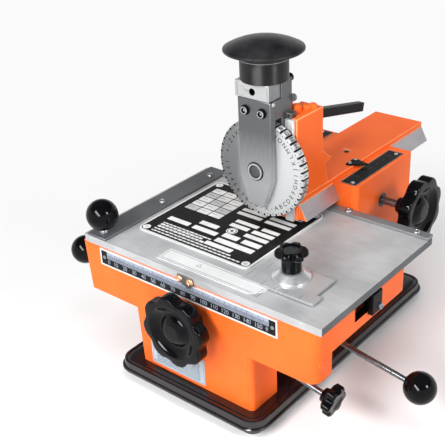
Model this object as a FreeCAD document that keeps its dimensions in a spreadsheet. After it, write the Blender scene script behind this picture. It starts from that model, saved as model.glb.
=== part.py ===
import FreeCAD, Part
import Sketcher
import math
import os
import re

# Bench machine that embosses letters into metal nameplates.
# X runs to the right, Y to the back and Z up, all in millimetres.
# The origin is the centre of the machine's footprint, on the surface that its feet stand on.
# The plane X = 0 holds the axes of the palm button, the type wheel and the feed shaft.

SIZES = {
    # Base plate and rubber feet
    "foot_height": 7.0,
    "foot_radius": 12.0,
    "foot_inset": 15.0,
    "base_left": -76.3,
    "base_front": -148.0,
    "base_length": 143.0,
    "base_depth": 252.0,
    "base_thickness": 9.0,
    "base_corner": 14.0,
    "base_lip": 1.5,
    "base_lip_height": 3.0,
    # Screws that hold the feet and the castings
    "screw_head_radius": 4.5,
    "screw_head_height": 3.0,
    "screw_shank_radius": 2.5,
    "screw_shank_length": 10.0,
    "screw_sink": 1.0,
    "screw_clearance": 0.2,
    "screw_hole_end": 1.0,
    # Body casting: a pedestal under a wide housing, with their front faces in one plane
    "front_face": -136.0,
    "pedestal_left": -55.3,
    "pedestal_width": 110.0,
    "pedestal_flare": 4.6,
    "pedestal_depth": 30.0,
    "pedestal_corner": 4.0,
    "pedestal_boss": 15.0,
    "housing_left": -112.3,
    "housing_width": 222.0,
    "housing_taper": 4.0,
    "housing_depth": 123.0,
    "housing_height": 93.0,
    "housing_corner": 9.0,
    "apron_height": 44.0,
    "apron_depth": 20.0,
    "apron_end": 12.0,
    "wall_height": 26.0,
    "casting_wall": 6.0,
    "casting_merge": 1.0,
    "cut_overrun": 1.0,
    "floor_thickness": 6.0,
    "recess_gap": 2.0,
    "recess_depth": 2.5,
    "notch_front": 48.5,
    "notch_rear": 70.0,
    "notch_sill": 18.0,
    "support_width": 70.0,
    "support_depth": 12.0,
    "support_inset": 1.0,
    "stop_thickness": 4.5,
    "stop_front": 65.0,
    "stop_depth": 13.0,
    "stop_height": 17.0,
    # Plates on the front
    "scale_left": -93.8,
    "scale_length": 172.8,
    "scale_height": 14.5,
    "scale_bottom": 77.0,
    "scale_thickness": 1.2,
    "scale_rim": 1.2,
    "scale_rim_height": 0.4,
    "plate_left": -45.5,
    "plate_bottom": 3.4,
    "plate_length": 55.0,
    "plate_height": 24.0,
    "plate_thickness": 0.8,
    # Rack drives: the same pinion moves the table and the arm
    "gear_module": 1.25,
    "gear_teeth": 25,
    "gear_pressure": 20.0,
    "gear_root": 1.25,
    "gear_width": 12.0,
    "gear_backlash": 0.25,
    "gear_side_gap": 1.0,
    "rack_length": 176.0,
    "rack_left": -88.3,
    "feed_height": 61.5,
    "feed_gear_front": 52.0,
    "shaft_radius": 3.2,
    "bush_wall": 3.0,
    "running_clearance": 0.04,
    "shaft_relief": 1.0,
    "shaft_end_show": 2.0,
    "feed_bush_length": 16.0,
    "feed_lug_front": 70.0,
    "feed_lug_depth": 8.0,
    "feed_lug_width": 28.0,
    "bush_boss_wall": 5.0,
    # Guide rods of the table and the blocks that run on them
    "rod_radius": 5.0,
    "rod_drop": 11.0,
    "rod_front": 32.0,
    "rod_rear": 23.0,
    "rod_end_wall": 3.0,
    "rod_bush_wall": 1.5,
    "rod_bush_length": 15.0,
    "block_width": 50.0,
    "block_depth": 18.0,
    "block_height": 17.2,
    # Table plate with its strips
    "slide_gap": 1.0,
    "table_left": -109.3,
    "table_length": 224.6,
    "table_front": -138.0,
    "table_depth": 151.0,
    "table_thickness": 6.0,
    "table_corner": 1.5,
    "flange_left_gap": 9.3,
    "flange_right_gap": 1.7,
    "flange_front_margin": 10.0,
    "flange_rear_margin": 8.0,
    "flange_thickness": 3.0,
    "left_strip_inset": 4.0,
    "left_strip_width": 20.0,
    "left_strip_thickness": 2.0,
    "rear_strip_depth": 8.5,
    "rear_strip_thickness": 2.5,
    "left_screw_in": 12.0,
    "left_screw_front": 74.0,
    "left_screw_rear": 15.0,
    "rear_screw_left": 30.0,
    "rear_screw_middle": 72.6,
    "rear_screw_right": 11.6,
    "pan_head_radius": 3.0,
    "pan_head_height": 1.8,
    "pan_head_edge": 0.6,
    "pan_shank_radius": 1.4,
    "pan_shank_length": 4.5,
    "gauge_left": -36.3,
    "gauge_length": 95.0,
    "gauge_front": 3.5,
    "gauge_depth": 16.5,
    "gauge_chamfer": 8.0,
    "gauge_thickness": 0.8,
    "work_left": -80.3,
    "work_length": 111.0,
    "work_front": 28.0,
    "work_depth": 102.0,
    "work_corner": 5.0,
    "work_thickness": 1.2,
    "pointer_thickness": 1.2,
    "pointer_width": 15.0,
    "pointer_centre": -2.3,
    "pointer_height": 11.0,
    "pointer_top_drop": 1.5,
    "pointer_shoulder_drop": 6.0,
    "pointer_tip_right": 2.5,
    "pointer_tip_width": 1.2,
    "pointer_screw_spacing": 10.0,
    "pointer_screw_drop": 4.5,
    "table_ball_radius": 12.7,
    "table_ball_inset": 14.0,
    "table_ball_back": 8.7,
    "stud_radius": 3.0,
    "stud_show": 2.2,
    "stud_depth": 4.0,
    # Clamp on the table
    "clamp_left": 36.6,
    "clamp_length": 55.3,
    "clamp_front": 15.8,
    "clamp_depth": 34.6,
    "clamp_tab": 4.7,
    "clamp_tab_depth": 10.7,
    "clamp_thickness": 2.9,
    "clamp_axis_right": 64.6,
    "clamp_axis_back": 36.0,
    "clamp_travel": 5.0,
    "clamp_screw_radius": 3.0,
    "clamp_slot_clearance": 0.4,
    "cone_radius": 14.0,
    "cone_top_radius": 7.5,
    "cone_height": 5.7,
    "cone_edge": 1.0,
    "clamp_stem_radius": 7.2,
    "clamp_stem_height": 10.8,
    "clamp_head_radius": 12.0,
    "clamp_head_height": 6.6,
    "clamp_head_lobes": 6,
    "clamp_head_scallop": 3.0,
    "clamp_head_round": 1.5,
    # Handwheels
    "wheel_radius": 29.0,
    "wheel_depth": 10.5,
    "wheel_lobes": 8,
    "wheel_scallop": 5.5,
    "wheel_scallop_depth": 3.2,
    "wheel_scallop_round": 3.0,
    "wheel_edge_round": 2.0,
    "wheel_flat_radius": 23.0,
    "wheel_ring_radius": 15.0,
    "wheel_disc_radius": 12.0,
    "wheel_dish": 4.0,
    "wheel_dish_radius": 12.0,
    "wheel_disc_sink": 1.2,
    "wheel_back_recess": 2.5,
    "wheel_back_radius": 21.0,
    "wheel_back_draft": 2.0,
    "wheel_hub_radius": 11.0,
    "wheel_bore_end": 6.0,
    "feed_wheel_face": 24.0,
    "hub_gap": 0.3,
    # Rear column with its dovetail slot
    "column_half_width": 46.7,
    "column_front": 14.0,
    "column_depth": 87.0,
    "column_height": 122.0,
    "column_corner": 5.0,
    "column_cavity_half": 35.0,
    "column_cavity_front": 12.0,
    "column_cavity_depth": 62.0,
    "column_cavity_height": 72.0,
    "column_bush_length": 20.0,
    "column_scale_inset": 2.2,
    "column_scale_width": 13.9,
    "column_scale_front": 1.3,
    "column_scale_length": 76.0,
    "column_scale_rear": 3.0,
    "column_scale_thickness": 0.8,
    # Arm on its dovetail
    "arm_front": -39.0,
    "arm_length": 200.0,
    "arm_half_width": 24.2,
    "arm_nose": 6.0,
    "arm_bottom": 107.0,
    "dovetail_height": 13.0,
    "dovetail_angle": 62.0,
    "arm_top_thickness": 4.3,
    "slide_clearance": 0.08,
    "gib_thickness": 4.0,
    "arm_rack_front": 14.0,
    "arm_rack_length": 90.0,
    "arm_rack_groove": 8.2,
    "arm_rack_pitch_line": 3.1,
    "arm_mark_back": 70.0,
    "arm_mark_side": 2.0,
    "arm_mark_length": 8.0,
    "arm_mark_width": 2.0,
    "arm_mark_depth": 1.0,
    "arm_pointer_thickness": 1.2,
    "arm_pointer_back": 42.6,
    "arm_pointer_length": 13.5,
    "arm_pointer_inside": 5.9,
    "arm_pointer_neck": 2.3,
    "arm_pointer_reach": 9.5,
    "arm_pointer_tip_back": 9.6,
    "arm_pointer_tip_width": 1.2,
    "arm_shaft_back": 55.0,
    "arm_wheel_face": 86.2,
    "arm_wheel_hub_radius": 6.5,
    "arm_wheel_hub": 13.4,
    "lock_knob_radius": 10.5,
    "lock_knob_depth": 16.0,
    "lock_knob_draft": 1.5,
    "lock_knob_waist": 5.3,
    "lock_knob_edge": 2.0,
    "lock_knob_edge_round": 2.5,
    "lock_knob_left": -40.3,
    "lock_knob_drop": 23.0,
    "lock_stud_radius": 3.0,
    "lock_stud_depth": 12.0,
    # Head bracket that carries the ram
    "bracket_depth": 38.0,
    "bracket_height": 66.7,
    "bracket_tip_out": 13.0,
    "bracket_tip_height": 19.7,
    "bracket_tip_slope": 10.0,
    "bracket_foot_out": 7.5,
    "bracket_foot_height": 3.2,
    "bracket_hollow_out": 3.0,
    "bracket_hollow_height": 14.0,
    "cover_thickness": 3.0,
    "ram_half_width": 15.0,
    "ram_flange": 4.0,
    "ram_depth": 13.0,
    "ram_proud": 3.0,
    "ram_gap": 0.1,
    "ram_bottom": 136.0,
    "ram_top": 220.7,
    "ram_back_skin": 2.0,
    "spring_radius": 4.0,
    "spring_wire": 1.0,
    "spring_bore_clearance": 0.4,
    "spring_bore_depth": 8.0,
    "spring_back": 7.2,
    # Type wheel and the plates in front of it
    "type_wheel_height": 151.0,
    "type_wheel_radius": 39.7,
    "type_wheel_thickness": 7.2,
    "type_wheel_gap": 0.4,
    "type_count": 42,
    "type_groove_width": 1.3,
    "type_groove_depth": 2.6,
    "type_bevel": 0.8,
    "axle_radius": 4.0,
    "axle_ring_radius": 6.5,
    "axle_ring_height": 1.0,
    "axle_end_depth": 9.0,
    "cheek_thickness": 6.0,
    "cheek_half_width": 15.1,
    "cheek_top": 208.2,
    "cheek_shoulder": 144.4,
    "cheek_bottom": 122.6,
    "cheek_foot_half": 7.6,
    "cheek_screw_spacing": 15.3,
    "cheek_screw_drop": 9.1,
    "cap_screw_radius": 3.0,
    "cap_screw_height": 2.2,
    "cap_screw_socket": 1.5,
    "cap_screw_shank": 2.0,
    "cap_screw_length": 16.0,
    "washer_radius": 3.9,
    "washer_height": 0.6,
    "spacer_height": 15.0,
    "top_block_height": 12.5,
    "top_block_hole": 2.75,
    "top_block_hole_left": 1.3,
    "top_block_hole_up": 5.6,
    "top_block_hole_depth": 8.0,
    "sleeve_radius": 18.2,
    "sleeve_height": 16.3,
    "sleeve_lip": 0.5,
    "sleeve_lip_height": 1.2,
    "button_radius": 30.0,
    "button_height": 15.0,
    "button_flare": 5.2,
    "button_rim": 2.0,
    "button_spigot_radius": 8.0,
    "button_spigot_depth": 8.0,
    "rear_knob_radius": 3.2,
    "rear_knob_length": 10.0,
    "rear_knob_side": 7.0,
    "rear_knob_drop": 4.0,
    "rear_knob_edge": 1.5,
    "rear_knob_draft": 1.2,
    # Ball lever on the right, under the housing
    "lever_pivot_right": 34.7,
    "lever_pivot_back": 70.0,
    "lever_pivot_height": 43.7,
    "lever_slope": 9.46,
    "lever_reach": 119.2,
    "lever_rod_radius": 2.2,
    "lever_ball_radius": 12.2,
    "ball_bore_stop": 6.0,
    "lever_hub_radius": 7.0,
    "lever_hub_width": 9.0,
    "lever_pin_radius": 3.0,
    "lever_pin_length": 21.0,
    "lug_wall": 6.0,
    "lug_half_width": 9.0,
    "lug_gap": 0.3,
    # Pull rod with a ball on the left
    "pull_ball_radius": 12.5,
    "pull_ball_left": -155.3,
    "pull_back": 35.0,
    "pull_height": 53.0,
    "pull_rod_radius": 3.0,
    "pull_rod_length": 80.0,
    "pull_lug_width": 12.0,
    "pull_lug_half_depth": 8.0,
    "pull_lug_drop": 22.0,
    # Setting rod with a small star knob on the right
    "pitch_back": 14.0,
    "pitch_wall_height": 44.0,
    "pitch_slope": 11.4,
    "pitch_reach": 61.5,
    "pitch_rod_radius": 2.25,
    "pitch_rod_inside": 20.0,
    "pitch_knob_radius": 12.0,
    "pitch_knob_height": 8.0,
    "pitch_knob_lobes": 6,
    "pitch_knob_scallop": 3.2,
    "pitch_knob_round": 1.3,
    # Index lever behind the head bracket
    "index_pivot_back": 32.0,
    "index_pivot_height": 179.0,
    "index_slope": 13.0,
    "index_reach": 102.0,
    "index_height": 8.0,
    "index_width": 7.0,
    "index_round": 1.0,
    "index_eye_radius": 6.0,
    "index_pin_radius": 2.5,
    "index_pin_half": 13.0,
    "index_slot_gap": 0.3,
    "index_slot_front": 22.0,
    "index_slot_height": 27.0,
}

# Places that follow from the sizes above
PLACES = {
    "base_top": "foot_height + base_thickness",
    "base_right": "base_left + base_length",
    "base_rear": "base_front + base_depth",
    "foot_x_left": "base_left + foot_inset",
    "foot_x_right": "base_right - foot_inset",
    "foot_y_front": "base_front + foot_inset",
    "foot_y_rear": "base_rear - foot_inset",
    "pedestal_right": "pedestal_left + pedestal_width",
    "pedestal_rear": "front_face + pedestal_depth",
    "housing_right": "housing_left + housing_width",
    "housing_rear": "front_face + housing_depth",
    "housing_top": "base_top + housing_height",
    "apron_low": "housing_top - apron_height",
    "wall_low": "housing_top - wall_height",
    "floor_top": "wall_low + floor_thickness",
    "notch_low": "housing_top - notch_sill",
    "support_left": "-support_width / 2",
    "support_rear": "housing_rear - support_inset",
    "support_front": "support_rear - support_depth",
    "gear_radius": "gear_module * gear_teeth / 2",
    "feed_level": "base_top + feed_height",
    "feed_gear_y": "front_face + feed_gear_front",
    "bush_radius": "shaft_radius + bush_wall",
    "feed_lug_y": "front_face + feed_lug_front",
    "feed_shaft_end": "feed_lug_y + feed_lug_depth + shaft_end_show",
    "rod_level": "housing_top - rod_drop",
    "rod_front_y": "front_face + rod_front",
    "rod_rear_y": "housing_rear - rod_rear",
    "rod_bush_radius": "rod_radius + rod_bush_wall",
    "table_low": "housing_top + slide_gap",
    "table_top": "table_low + table_thickness",
    "table_right": "table_left + table_length",
    "table_rear": "table_front + table_depth",
    "flange_low": "table_low - flange_thickness",
    "flange_left": "housing_left + flange_left_gap",
    "flange_right": "housing_right - flange_right_gap",
    "flange_front": "rod_front_y - flange_front_margin",
    "flange_rear": "rod_rear_y + flange_rear_margin",
    "left_strip_left": "table_left + left_strip_inset",
    "left_strip_right": "left_strip_left + left_strip_width",
    "left_strip_top": "table_top + left_strip_thickness",
    "rear_strip_top": "table_top + rear_strip_thickness",
    "clamp_axis_y": "front_face + clamp_axis_back",
    "clamp_top": "table_top + clamp_thickness",
    "cone_top": "clamp_top + cone_height",
    "feed_wheel_back": "front_face - feed_wheel_face + wheel_depth",
    "column_top": "base_top + column_height",
    "column_rear": "column_front + column_depth",
    "cavity_front": "column_front + column_cavity_front",
    "cavity_rear": "cavity_front + column_cavity_depth",
    "cavity_top": "base_top + column_cavity_height",
    "arm_low": "base_top + arm_bottom",
    "flank_top": "arm_low + dovetail_height",
    "arm_top": "flank_top + arm_top_thickness",
    "arm_rear": "arm_front + arm_length",
    "foot_front": "arm_front + arm_nose",
    "arm_foot_half": "arm_half_width + dovetail_height / tan(dovetail_angle)",
    "slot_half": "arm_half_width + slide_clearance",
    "slot_foot_half": "arm_foot_half + slide_clearance",
    "arm_gear_level": "arm_low + arm_rack_pitch_line - gear_radius",
    "bracket_rear": "arm_front + bracket_depth",
    "bracket_top": "arm_top + bracket_height",
    "ram_front": "arm_front - ram_proud",
    "ram_rear": "ram_front + ram_depth",
    "ram_shoulder": "arm_front + cover_thickness + ram_gap",
    "ram_low": "base_top + ram_bottom",
    "ram_high": "base_top + ram_top",
    "spring_y": "ram_front + spring_back",
    "wheel_level": "base_top + type_wheel_height",
    "wheel_back": "ram_front - type_wheel_gap",
    "wheel_front": "wheel_back - type_wheel_thickness",
    "cheek_back": "wheel_front - type_wheel_gap",
    "cheek_front": "cheek_back - cheek_thickness",
    "cheek_high": "base_top + cheek_top",
    "button_y": "(cheek_front + ram_rear) / 2",
    "sleeve_top": "ram_high + sleeve_height",
    "lever_x": "lever_pivot_right",
    "lever_y": "front_face + lever_pivot_back",
    "lever_z": "base_top + lever_pivot_height",
    "pull_y": "front_face + pull_back",
    "pull_z": "base_top + pull_height",
    "pitch_y": "front_face + pitch_back",
    "pitch_z": "base_top + pitch_wall_height",
    "index_y": "arm_front + index_pivot_back",
    "index_z": "base_top + index_pivot_height",
}

doc = FreeCAD.newDocument("marking_machine")
sheet = doc.addObject("Spreadsheet::Sheet", "sizes")
for row, (alias, amount) in enumerate(SIZES.items(), start=1):
    sheet.set(f"A{row}", alias)
    sheet.set(f"B{row}", str(amount))
    sheet.setAlias(f"B{row}", alias)
doc.recompute()

places = doc.addObject("App::FeaturePython", "places")


def bound(text):
    """The same expression with each size and each place named in full."""
    def full_name(match):
        word = match.group(0)
        if word in SIZES:
            return "sizes." + word
        if word in PLACES:
            return "places." + word
        return word
    return re.sub(r"[a-z_]+", full_name, text)


for place, text in PLACES.items():
    places.addProperty("App::PropertyFloat", place, "Places")
    places.setExpression(place, bound(text))
doc.recompute()


def number(text):
    """The value that an expression has now."""
    return float(sheet.evalExpression(bound(text)))


def bind(thing, path, text):
    thing.setExpression(path, bound(text))


PARTS = []


def hand_over(piece, label):
    """Marks an object as one of the machine's pieces, under its own name."""
    piece.Label = label
    PARTS.append(piece)
    return piece


def new_body(name):
    body = doc.addObject("PartDesign::Body", name)
    body.AllowCompound = True
    return body


def origin_plane(body, role):
    for feature in body.Origin.OriginFeatures:
        if feature.Role == role:
            return feature
    raise ValueError("no plane " + role)


def rectangle(left, low, right, high):
    return [(left, low), (right, low), (right, high), (left, high)]


# A half round end is drawn this much larger than half its width, so that the arc always spans it
HALF_ROUND = 1.0001


def arc_between(start, end, radius, turn):
    """The shorter arc from start to end; turn is +1 to the left and -1 to the right."""
    chord = end - start
    middle = (start + end) * 0.5
    rise = math.sqrt(max(radius ** 2 - (chord.Length / 2) ** 2, 0.0))
    across = FreeCAD.Vector(-chord.y, chord.x, 0).normalize() * turn
    centre = middle + across * rise
    from_angle = math.atan2(start.y - centre.y, start.x - centre.x)
    to_angle = math.atan2(end.y - centre.y, end.x - centre.x)
    if turn < 0:
        from_angle, to_angle = to_angle, from_angle
    while to_angle < from_angle:
        to_angle += 2 * math.pi
    circle = Part.Circle(centre, FreeCAD.Vector(0, 0, 1), radius)
    return Part.ArcOfCircle(circle, from_angle, to_angle)


def pin_point(sketch, element, position, across, up):
    """Ties a point of the sketch to two expressions, measured from the origin."""
    for kind, text in (("DistanceX", across), ("DistanceY", up)):
        index = sketch.addConstraint(Sketcher.Constraint(kind, -1, 1, element, position, number(text)))
        bind(sketch, f"Constraints[{index}]", text)


def draw_polygon(sketch, corners):
    """A closed outline. A corner is (across, up), or (across, up, radius, turn) before an arc."""
    first = sketch.GeometryCount
    points = [FreeCAD.Vector(number(corner[0]), number(corner[1]), 0) for corner in corners]
    count = len(corners)
    ends = []
    for place, corner in enumerate(corners):
        start = points[place]
        end = points[(place + 1) % count]
        if len(corner) == 2:
            sketch.addGeometry(Part.LineSegment(start, end))
            ends.append((1, 2))
        else:
            sketch.addGeometry(arc_between(start, end, number(corner[2]), corner[3]))
            ends.append((1, 2) if corner[3] > 0 else (2, 1))
    for place, corner in enumerate(corners):
        following = (place + 1) % count
        sketch.addConstraint(Sketcher.Constraint(
            "Coincident", first + place, ends[place][1], first + following, ends[following][0]))
        pin_point(sketch, first + place, ends[place][0], corner[0], corner[1])
        if len(corner) == 4:
            index = sketch.addConstraint(Sketcher.Constraint("Radius", first + place, number(corner[2])))
            bind(sketch, f"Constraints[{index}]", corner[2])


def draw_circle(sketch, across, up, radius):
    element = sketch.addGeometry(Part.Circle(
        FreeCAD.Vector(number(across), number(up), 0), FreeCAD.Vector(0, 0, 1), number(radius)))
    pin_point(sketch, element, 3, across, up)
    index = sketch.addConstraint(Sketcher.Constraint("Radius", element, number(radius)))
    bind(sketch, f"Constraints[{index}]", radius)


def add_sketch(body, plane, offset, shapes):
    """A sketch on one of the body's own planes: lists are outlines, tuples are circles."""
    sketch = body.newObject("Sketcher::SketchObject", body.Name + "_sketch")
    sketch.AttachmentSupport = [(origin_plane(body, plane + "_Plane"), "")]
    sketch.MapMode = "FlatFace"
    bind(sketch, "AttachmentOffset.Base.z", offset)
    for shape in shapes:
        if isinstance(shape, list):
            draw_polygon(sketch, shape)
        else:
            draw_circle(sketch, *shape)
    return sketch


def pad(body, plane, low, high, *shapes):
    """Adds material between two places along the plane's axis (the XZ plane faces the front)."""
    offset = f"-({high})" if plane == "XZ" else low
    feature = body.newObject("PartDesign::Pad", body.Name + "_pad")
    feature.Profile = add_sketch(body, plane, offset, shapes)
    bind(feature, "Length", f"({high}) - ({low})")
    body.Tip = feature
    return feature


def pocket(body, plane, low, high, *shapes):
    """Takes material away between two places along the plane's axis."""
    doc.recompute()
    before = body.Shape.Volume
    offset = f"-({low})" if plane == "XZ" else high
    feature = body.newObject("PartDesign::Pocket", body.Name + "_pocket")
    feature.Profile = add_sketch(body, plane, offset, shapes)
    bind(feature, "Length", f"({high}) - ({low})")
    body.Tip = feature
    doc.recompute()
    if body.Shape.Volume > before - 0.01:
        raise RuntimeError(f"a pocket of {body.Name} removes nothing")
    return feature


def turn_profile(body, corners):
    """Revolves an outline of (radius, height) corners about the body's Z axis."""
    sketch = add_sketch(body, "XZ", "0", [corners])
    feature = body.newObject("PartDesign::Revolution", body.Name + "_turn")
    feature.Profile = sketch
    feature.ReferenceAxis = (sketch, ["V_Axis"])
    feature.Angle = 360
    body.Tip = feature
    return feature


def repeat_round(body, feature, count):
    """Repeats a feature evenly about its sketch's own axis."""
    pattern = body.newObject("PartDesign::PolarPattern", body.Name + "_pattern")
    pattern.Originals = [feature]
    pattern.Axis = (feature.Profile[0], ["N_Axis"])
    pattern.Angle = 360
    bind(pattern, "Occurrences", count)
    body.Tip = pattern
    doc.recompute()
    return pattern


def straight_edges(shape, axis, **where):
    """Names of the straight edges along an axis whose middle lies at the given coordinates."""
    names = []
    for index, edge in enumerate(shape.Edges, start=1):
        if not isinstance(edge.Curve, Part.Line):
            continue
        if abs(getattr(edge.Curve.Direction, axis)) < 0.999:
            continue
        middle = edge.CenterOfMass
        if all(abs(getattr(middle, key) - number(text)) < 0.01 for key, text in where.items()):
            names.append(f"Edge{index}")
    return names


def round_off(body, radius, names):
    """Rounds the named edges of the body as it is now."""
    if not names:
        raise RuntimeError(f"no edge of {body.Name} to round")
    base = body.Tip
    feature = body.newObject("PartDesign::Fillet", body.Name + "_round")
    feature.Base = (base, names)
    bind(feature, "Radius", radius)
    body.Tip = feature
    doc.recompute()
    return feature


def round_uprights(body, radius, *spots):
    """Rounds the upright edges that stand at the given (x, y) spots."""
    doc.recompute()
    names = []
    for spot_x, spot_y in spots:
        names += straight_edges(body.Shape, "z", x=spot_x, y=spot_y)
    return round_off(body, radius, names)


def place_at(piece, x, y, z, direction=(0, 0, 1)):
    """Sets a piece, built along its own Z axis, at a place and along a direction."""
    turn = FreeCAD.Rotation(FreeCAD.Vector(0, 0, 1), FreeCAD.Vector(*direction))
    piece.Placement = FreeCAD.Placement(FreeCAD.Vector(0, 0, 0), turn)
    bind(piece, "Placement.Base.x", x)
    bind(piece, "Placement.Base.y", y)
    bind(piece, "Placement.Base.z", z)
    return piece


def dome_radius(edge_radius, height):
    """The radius of a dome of a given height over a round edge."""
    return f"(({edge_radius}) ^ 2 + ({height}) ^ 2) / (2 * ({height}))"


def turned(name, corners, x, y, z, direction=(0, 0, 1)):
    body = new_body(name)
    turn_profile(body, corners)
    return place_at(body, x, y, z, direction)


def bar(name, radius, length, x, y, z, direction=(0, 0, 1)):
    """A round bar or a round cutter that starts at a place."""
    piece = doc.addObject("Part::Cylinder", name)
    bind(piece, "Radius", radius)
    bind(piece, "Height", length)
    return place_at(piece, x, y, z, direction)


def group(name, pieces):
    """Separate solids that share one name."""
    compound = doc.addObject("Part::Compound", name)
    compound.Links = pieces
    return compound


def cut_away(name, base, tools):
    piece = doc.addObject("Part::Cut", name)
    piece.Base = base
    piece.Tool = tools[0] if len(tools) == 1 else group(name + "_cutters", tools)
    return piece


def joined(name, pieces):
    piece = doc.addObject("Part::MultiFuse", name)
    piece.Shapes = pieces
    return piece


ALONG_X = (1, 0, 0)
ALONG_Y = (0, 1, 0)
TO_FRONT = (0, -1, 0)


def slope_direction(angle, towards):
    """A direction that falls by an angle on its way towards +X or +Y."""
    fall = math.radians(number(angle))
    if towards == "x":
        return (math.cos(fall), 0, -math.sin(fall))
    return (0, math.cos(fall), -math.sin(fall))


# The places of the screws: four in the feet, two in the pedestal, two in the rear support
# and four in the column
FOOT_SPOTS = [
    (x, y)
    for x in ("foot_x_left", "foot_x_right")
    for y in ("foot_y_front", "foot_y_rear")
]
PEDESTAL_SPOTS = [
    ("pedestal_left + casting_wall + pedestal_boss / 2", "pedestal_rear - pedestal_boss / 2"),
    ("pedestal_right - casting_wall - pedestal_boss / 2", "pedestal_rear - pedestal_boss / 2"),
]
SUPPORT_SPOTS = [
    ("support_left + support_depth", "support_rear - support_depth / 2"),
    ("-support_left - support_depth", "support_rear - support_depth / 2"),
]
COLUMN_SPOTS = [
    (sign + "(column_half_width + column_cavity_half) / 2", y)
    for sign in ("-", "")
    for y in ("column_front + column_cavity_front", "column_rear - column_cavity_front")
]
CASTING_SPOTS = PEDESTAL_SPOTS + SUPPORT_SPOTS + COLUMN_SPOTS
SCREW_REACH = "foot_height + screw_sink + screw_head_height + screw_shank_length"

# The pan head screws: (x, y, z) of each seat and the direction in which the screw goes in
LEFT_STRIP_SPOTS = [
    ("left_strip_left + left_screw_in", y)
    for y in ("table_front + left_screw_front", "table_rear - left_screw_rear")
]
REAR_STRIP_SPOTS = [
    (x, "table_rear - rear_strip_depth / 2")
    for x in ("left_strip_right + rear_screw_left", "table_right - rear_screw_middle",
              "table_right - rear_screw_right")
]
POINTER_SPOTS = [
    (f"pointer_centre {sign} pointer_screw_spacing / 2", "table_top - pointer_screw_drop")
    for sign in "-+"
]
PAN_SCREWS = [(x, y, "left_strip_top", (0, 0, -1)) for x, y in LEFT_STRIP_SPOTS]
PAN_SCREWS += [(x, y, "rear_strip_top", (0, 0, -1)) for x, y in REAR_STRIP_SPOTS]
PAN_SCREWS += [(x, "table_front - pointer_thickness", z, ALONG_Y) for x, z in POINTER_SPOTS]

CHEEK_SCREW_X = ("-cheek_screw_spacing / 2", "cheek_screw_spacing / 2")
CHEEK_SCREW_Z = "cheek_high - cheek_screw_drop"


def circles(spots, radius):
    return [(x, y, radius) for x, y in spots]


def make_base():
    body = new_body("base_blank")
    lip = rectangle("base_left - base_lip", "base_front - base_lip",
                    "base_right + base_lip", "base_rear + base_lip")
    pad(body, "XY", "foot_height", "foot_height + base_lip_height", lip)
    round_uprights(body, "base_corner + base_lip", *[(x, y) for x, y in lip])
    step = rectangle("base_left", "base_front", "base_right", "base_rear")
    upper = new_body("base_step")
    pad(upper, "XY", "foot_height + base_lip_height", "base_top", step)
    round_uprights(upper, "base_corner", *step)
    rim = [
        f"Edge{index}" for index, edge in enumerate(upper.Shape.Edges, start=1)
        if abs(edge.BoundBox.ZMin - number("base_top")) < 0.01
    ]
    round_off(upper, "base_lip", rim)
    cutters = []
    for place, (x, y) in enumerate(CASTING_SPOTS):
        cutters.append(bar(f"base_sink_{place}", "screw_head_radius + screw_clearance",
                           "screw_head_height + screw_sink", x, y, "foot_height"))
        cutters.append(bar(f"base_hole_{place}", "screw_shank_radius + screw_clearance",
                           "base_thickness", x, y, "foot_height"))
    for place, (x, y) in enumerate(FOOT_SPOTS):
        cutters.append(bar(f"base_foot_hole_{place}", "screw_shank_radius",
                           "screw_sink + screw_head_height + screw_shank_length - foot_height",
                           x, y, "foot_height"))
    hand_over(cut_away("base_plate", joined("base_whole", [body, upper]), cutters), "base_plate")

    feet = new_body("rubber_feet")
    pad(feet, "XY", "0", "foot_height", *circles(FOOT_SPOTS, "foot_radius"))
    pocket(feet, "XY", "0", "screw_sink + screw_head_height",
           *circles(FOOT_SPOTS, "screw_head_radius + screw_clearance"))
    pocket(feet, "XY", "screw_sink", "foot_height",
           *circles(FOOT_SPOTS, "screw_shank_radius + screw_clearance"))
    hand_over(feet, "rubber_feet")

    screws = new_body("base_screws")
    for spots, start in ((FOOT_SPOTS, "screw_sink"), (CASTING_SPOTS, "foot_height + screw_sink")):
        head = f"{start} + screw_head_height"
        pad(screws, "XY", start, head, *circles(spots, "screw_head_radius"))
        pad(screws, "XY", head, f"{head} + screw_shank_length", *circles(spots, "screw_shank_radius"))
    hand_over(screws, "base_screws")


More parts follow.
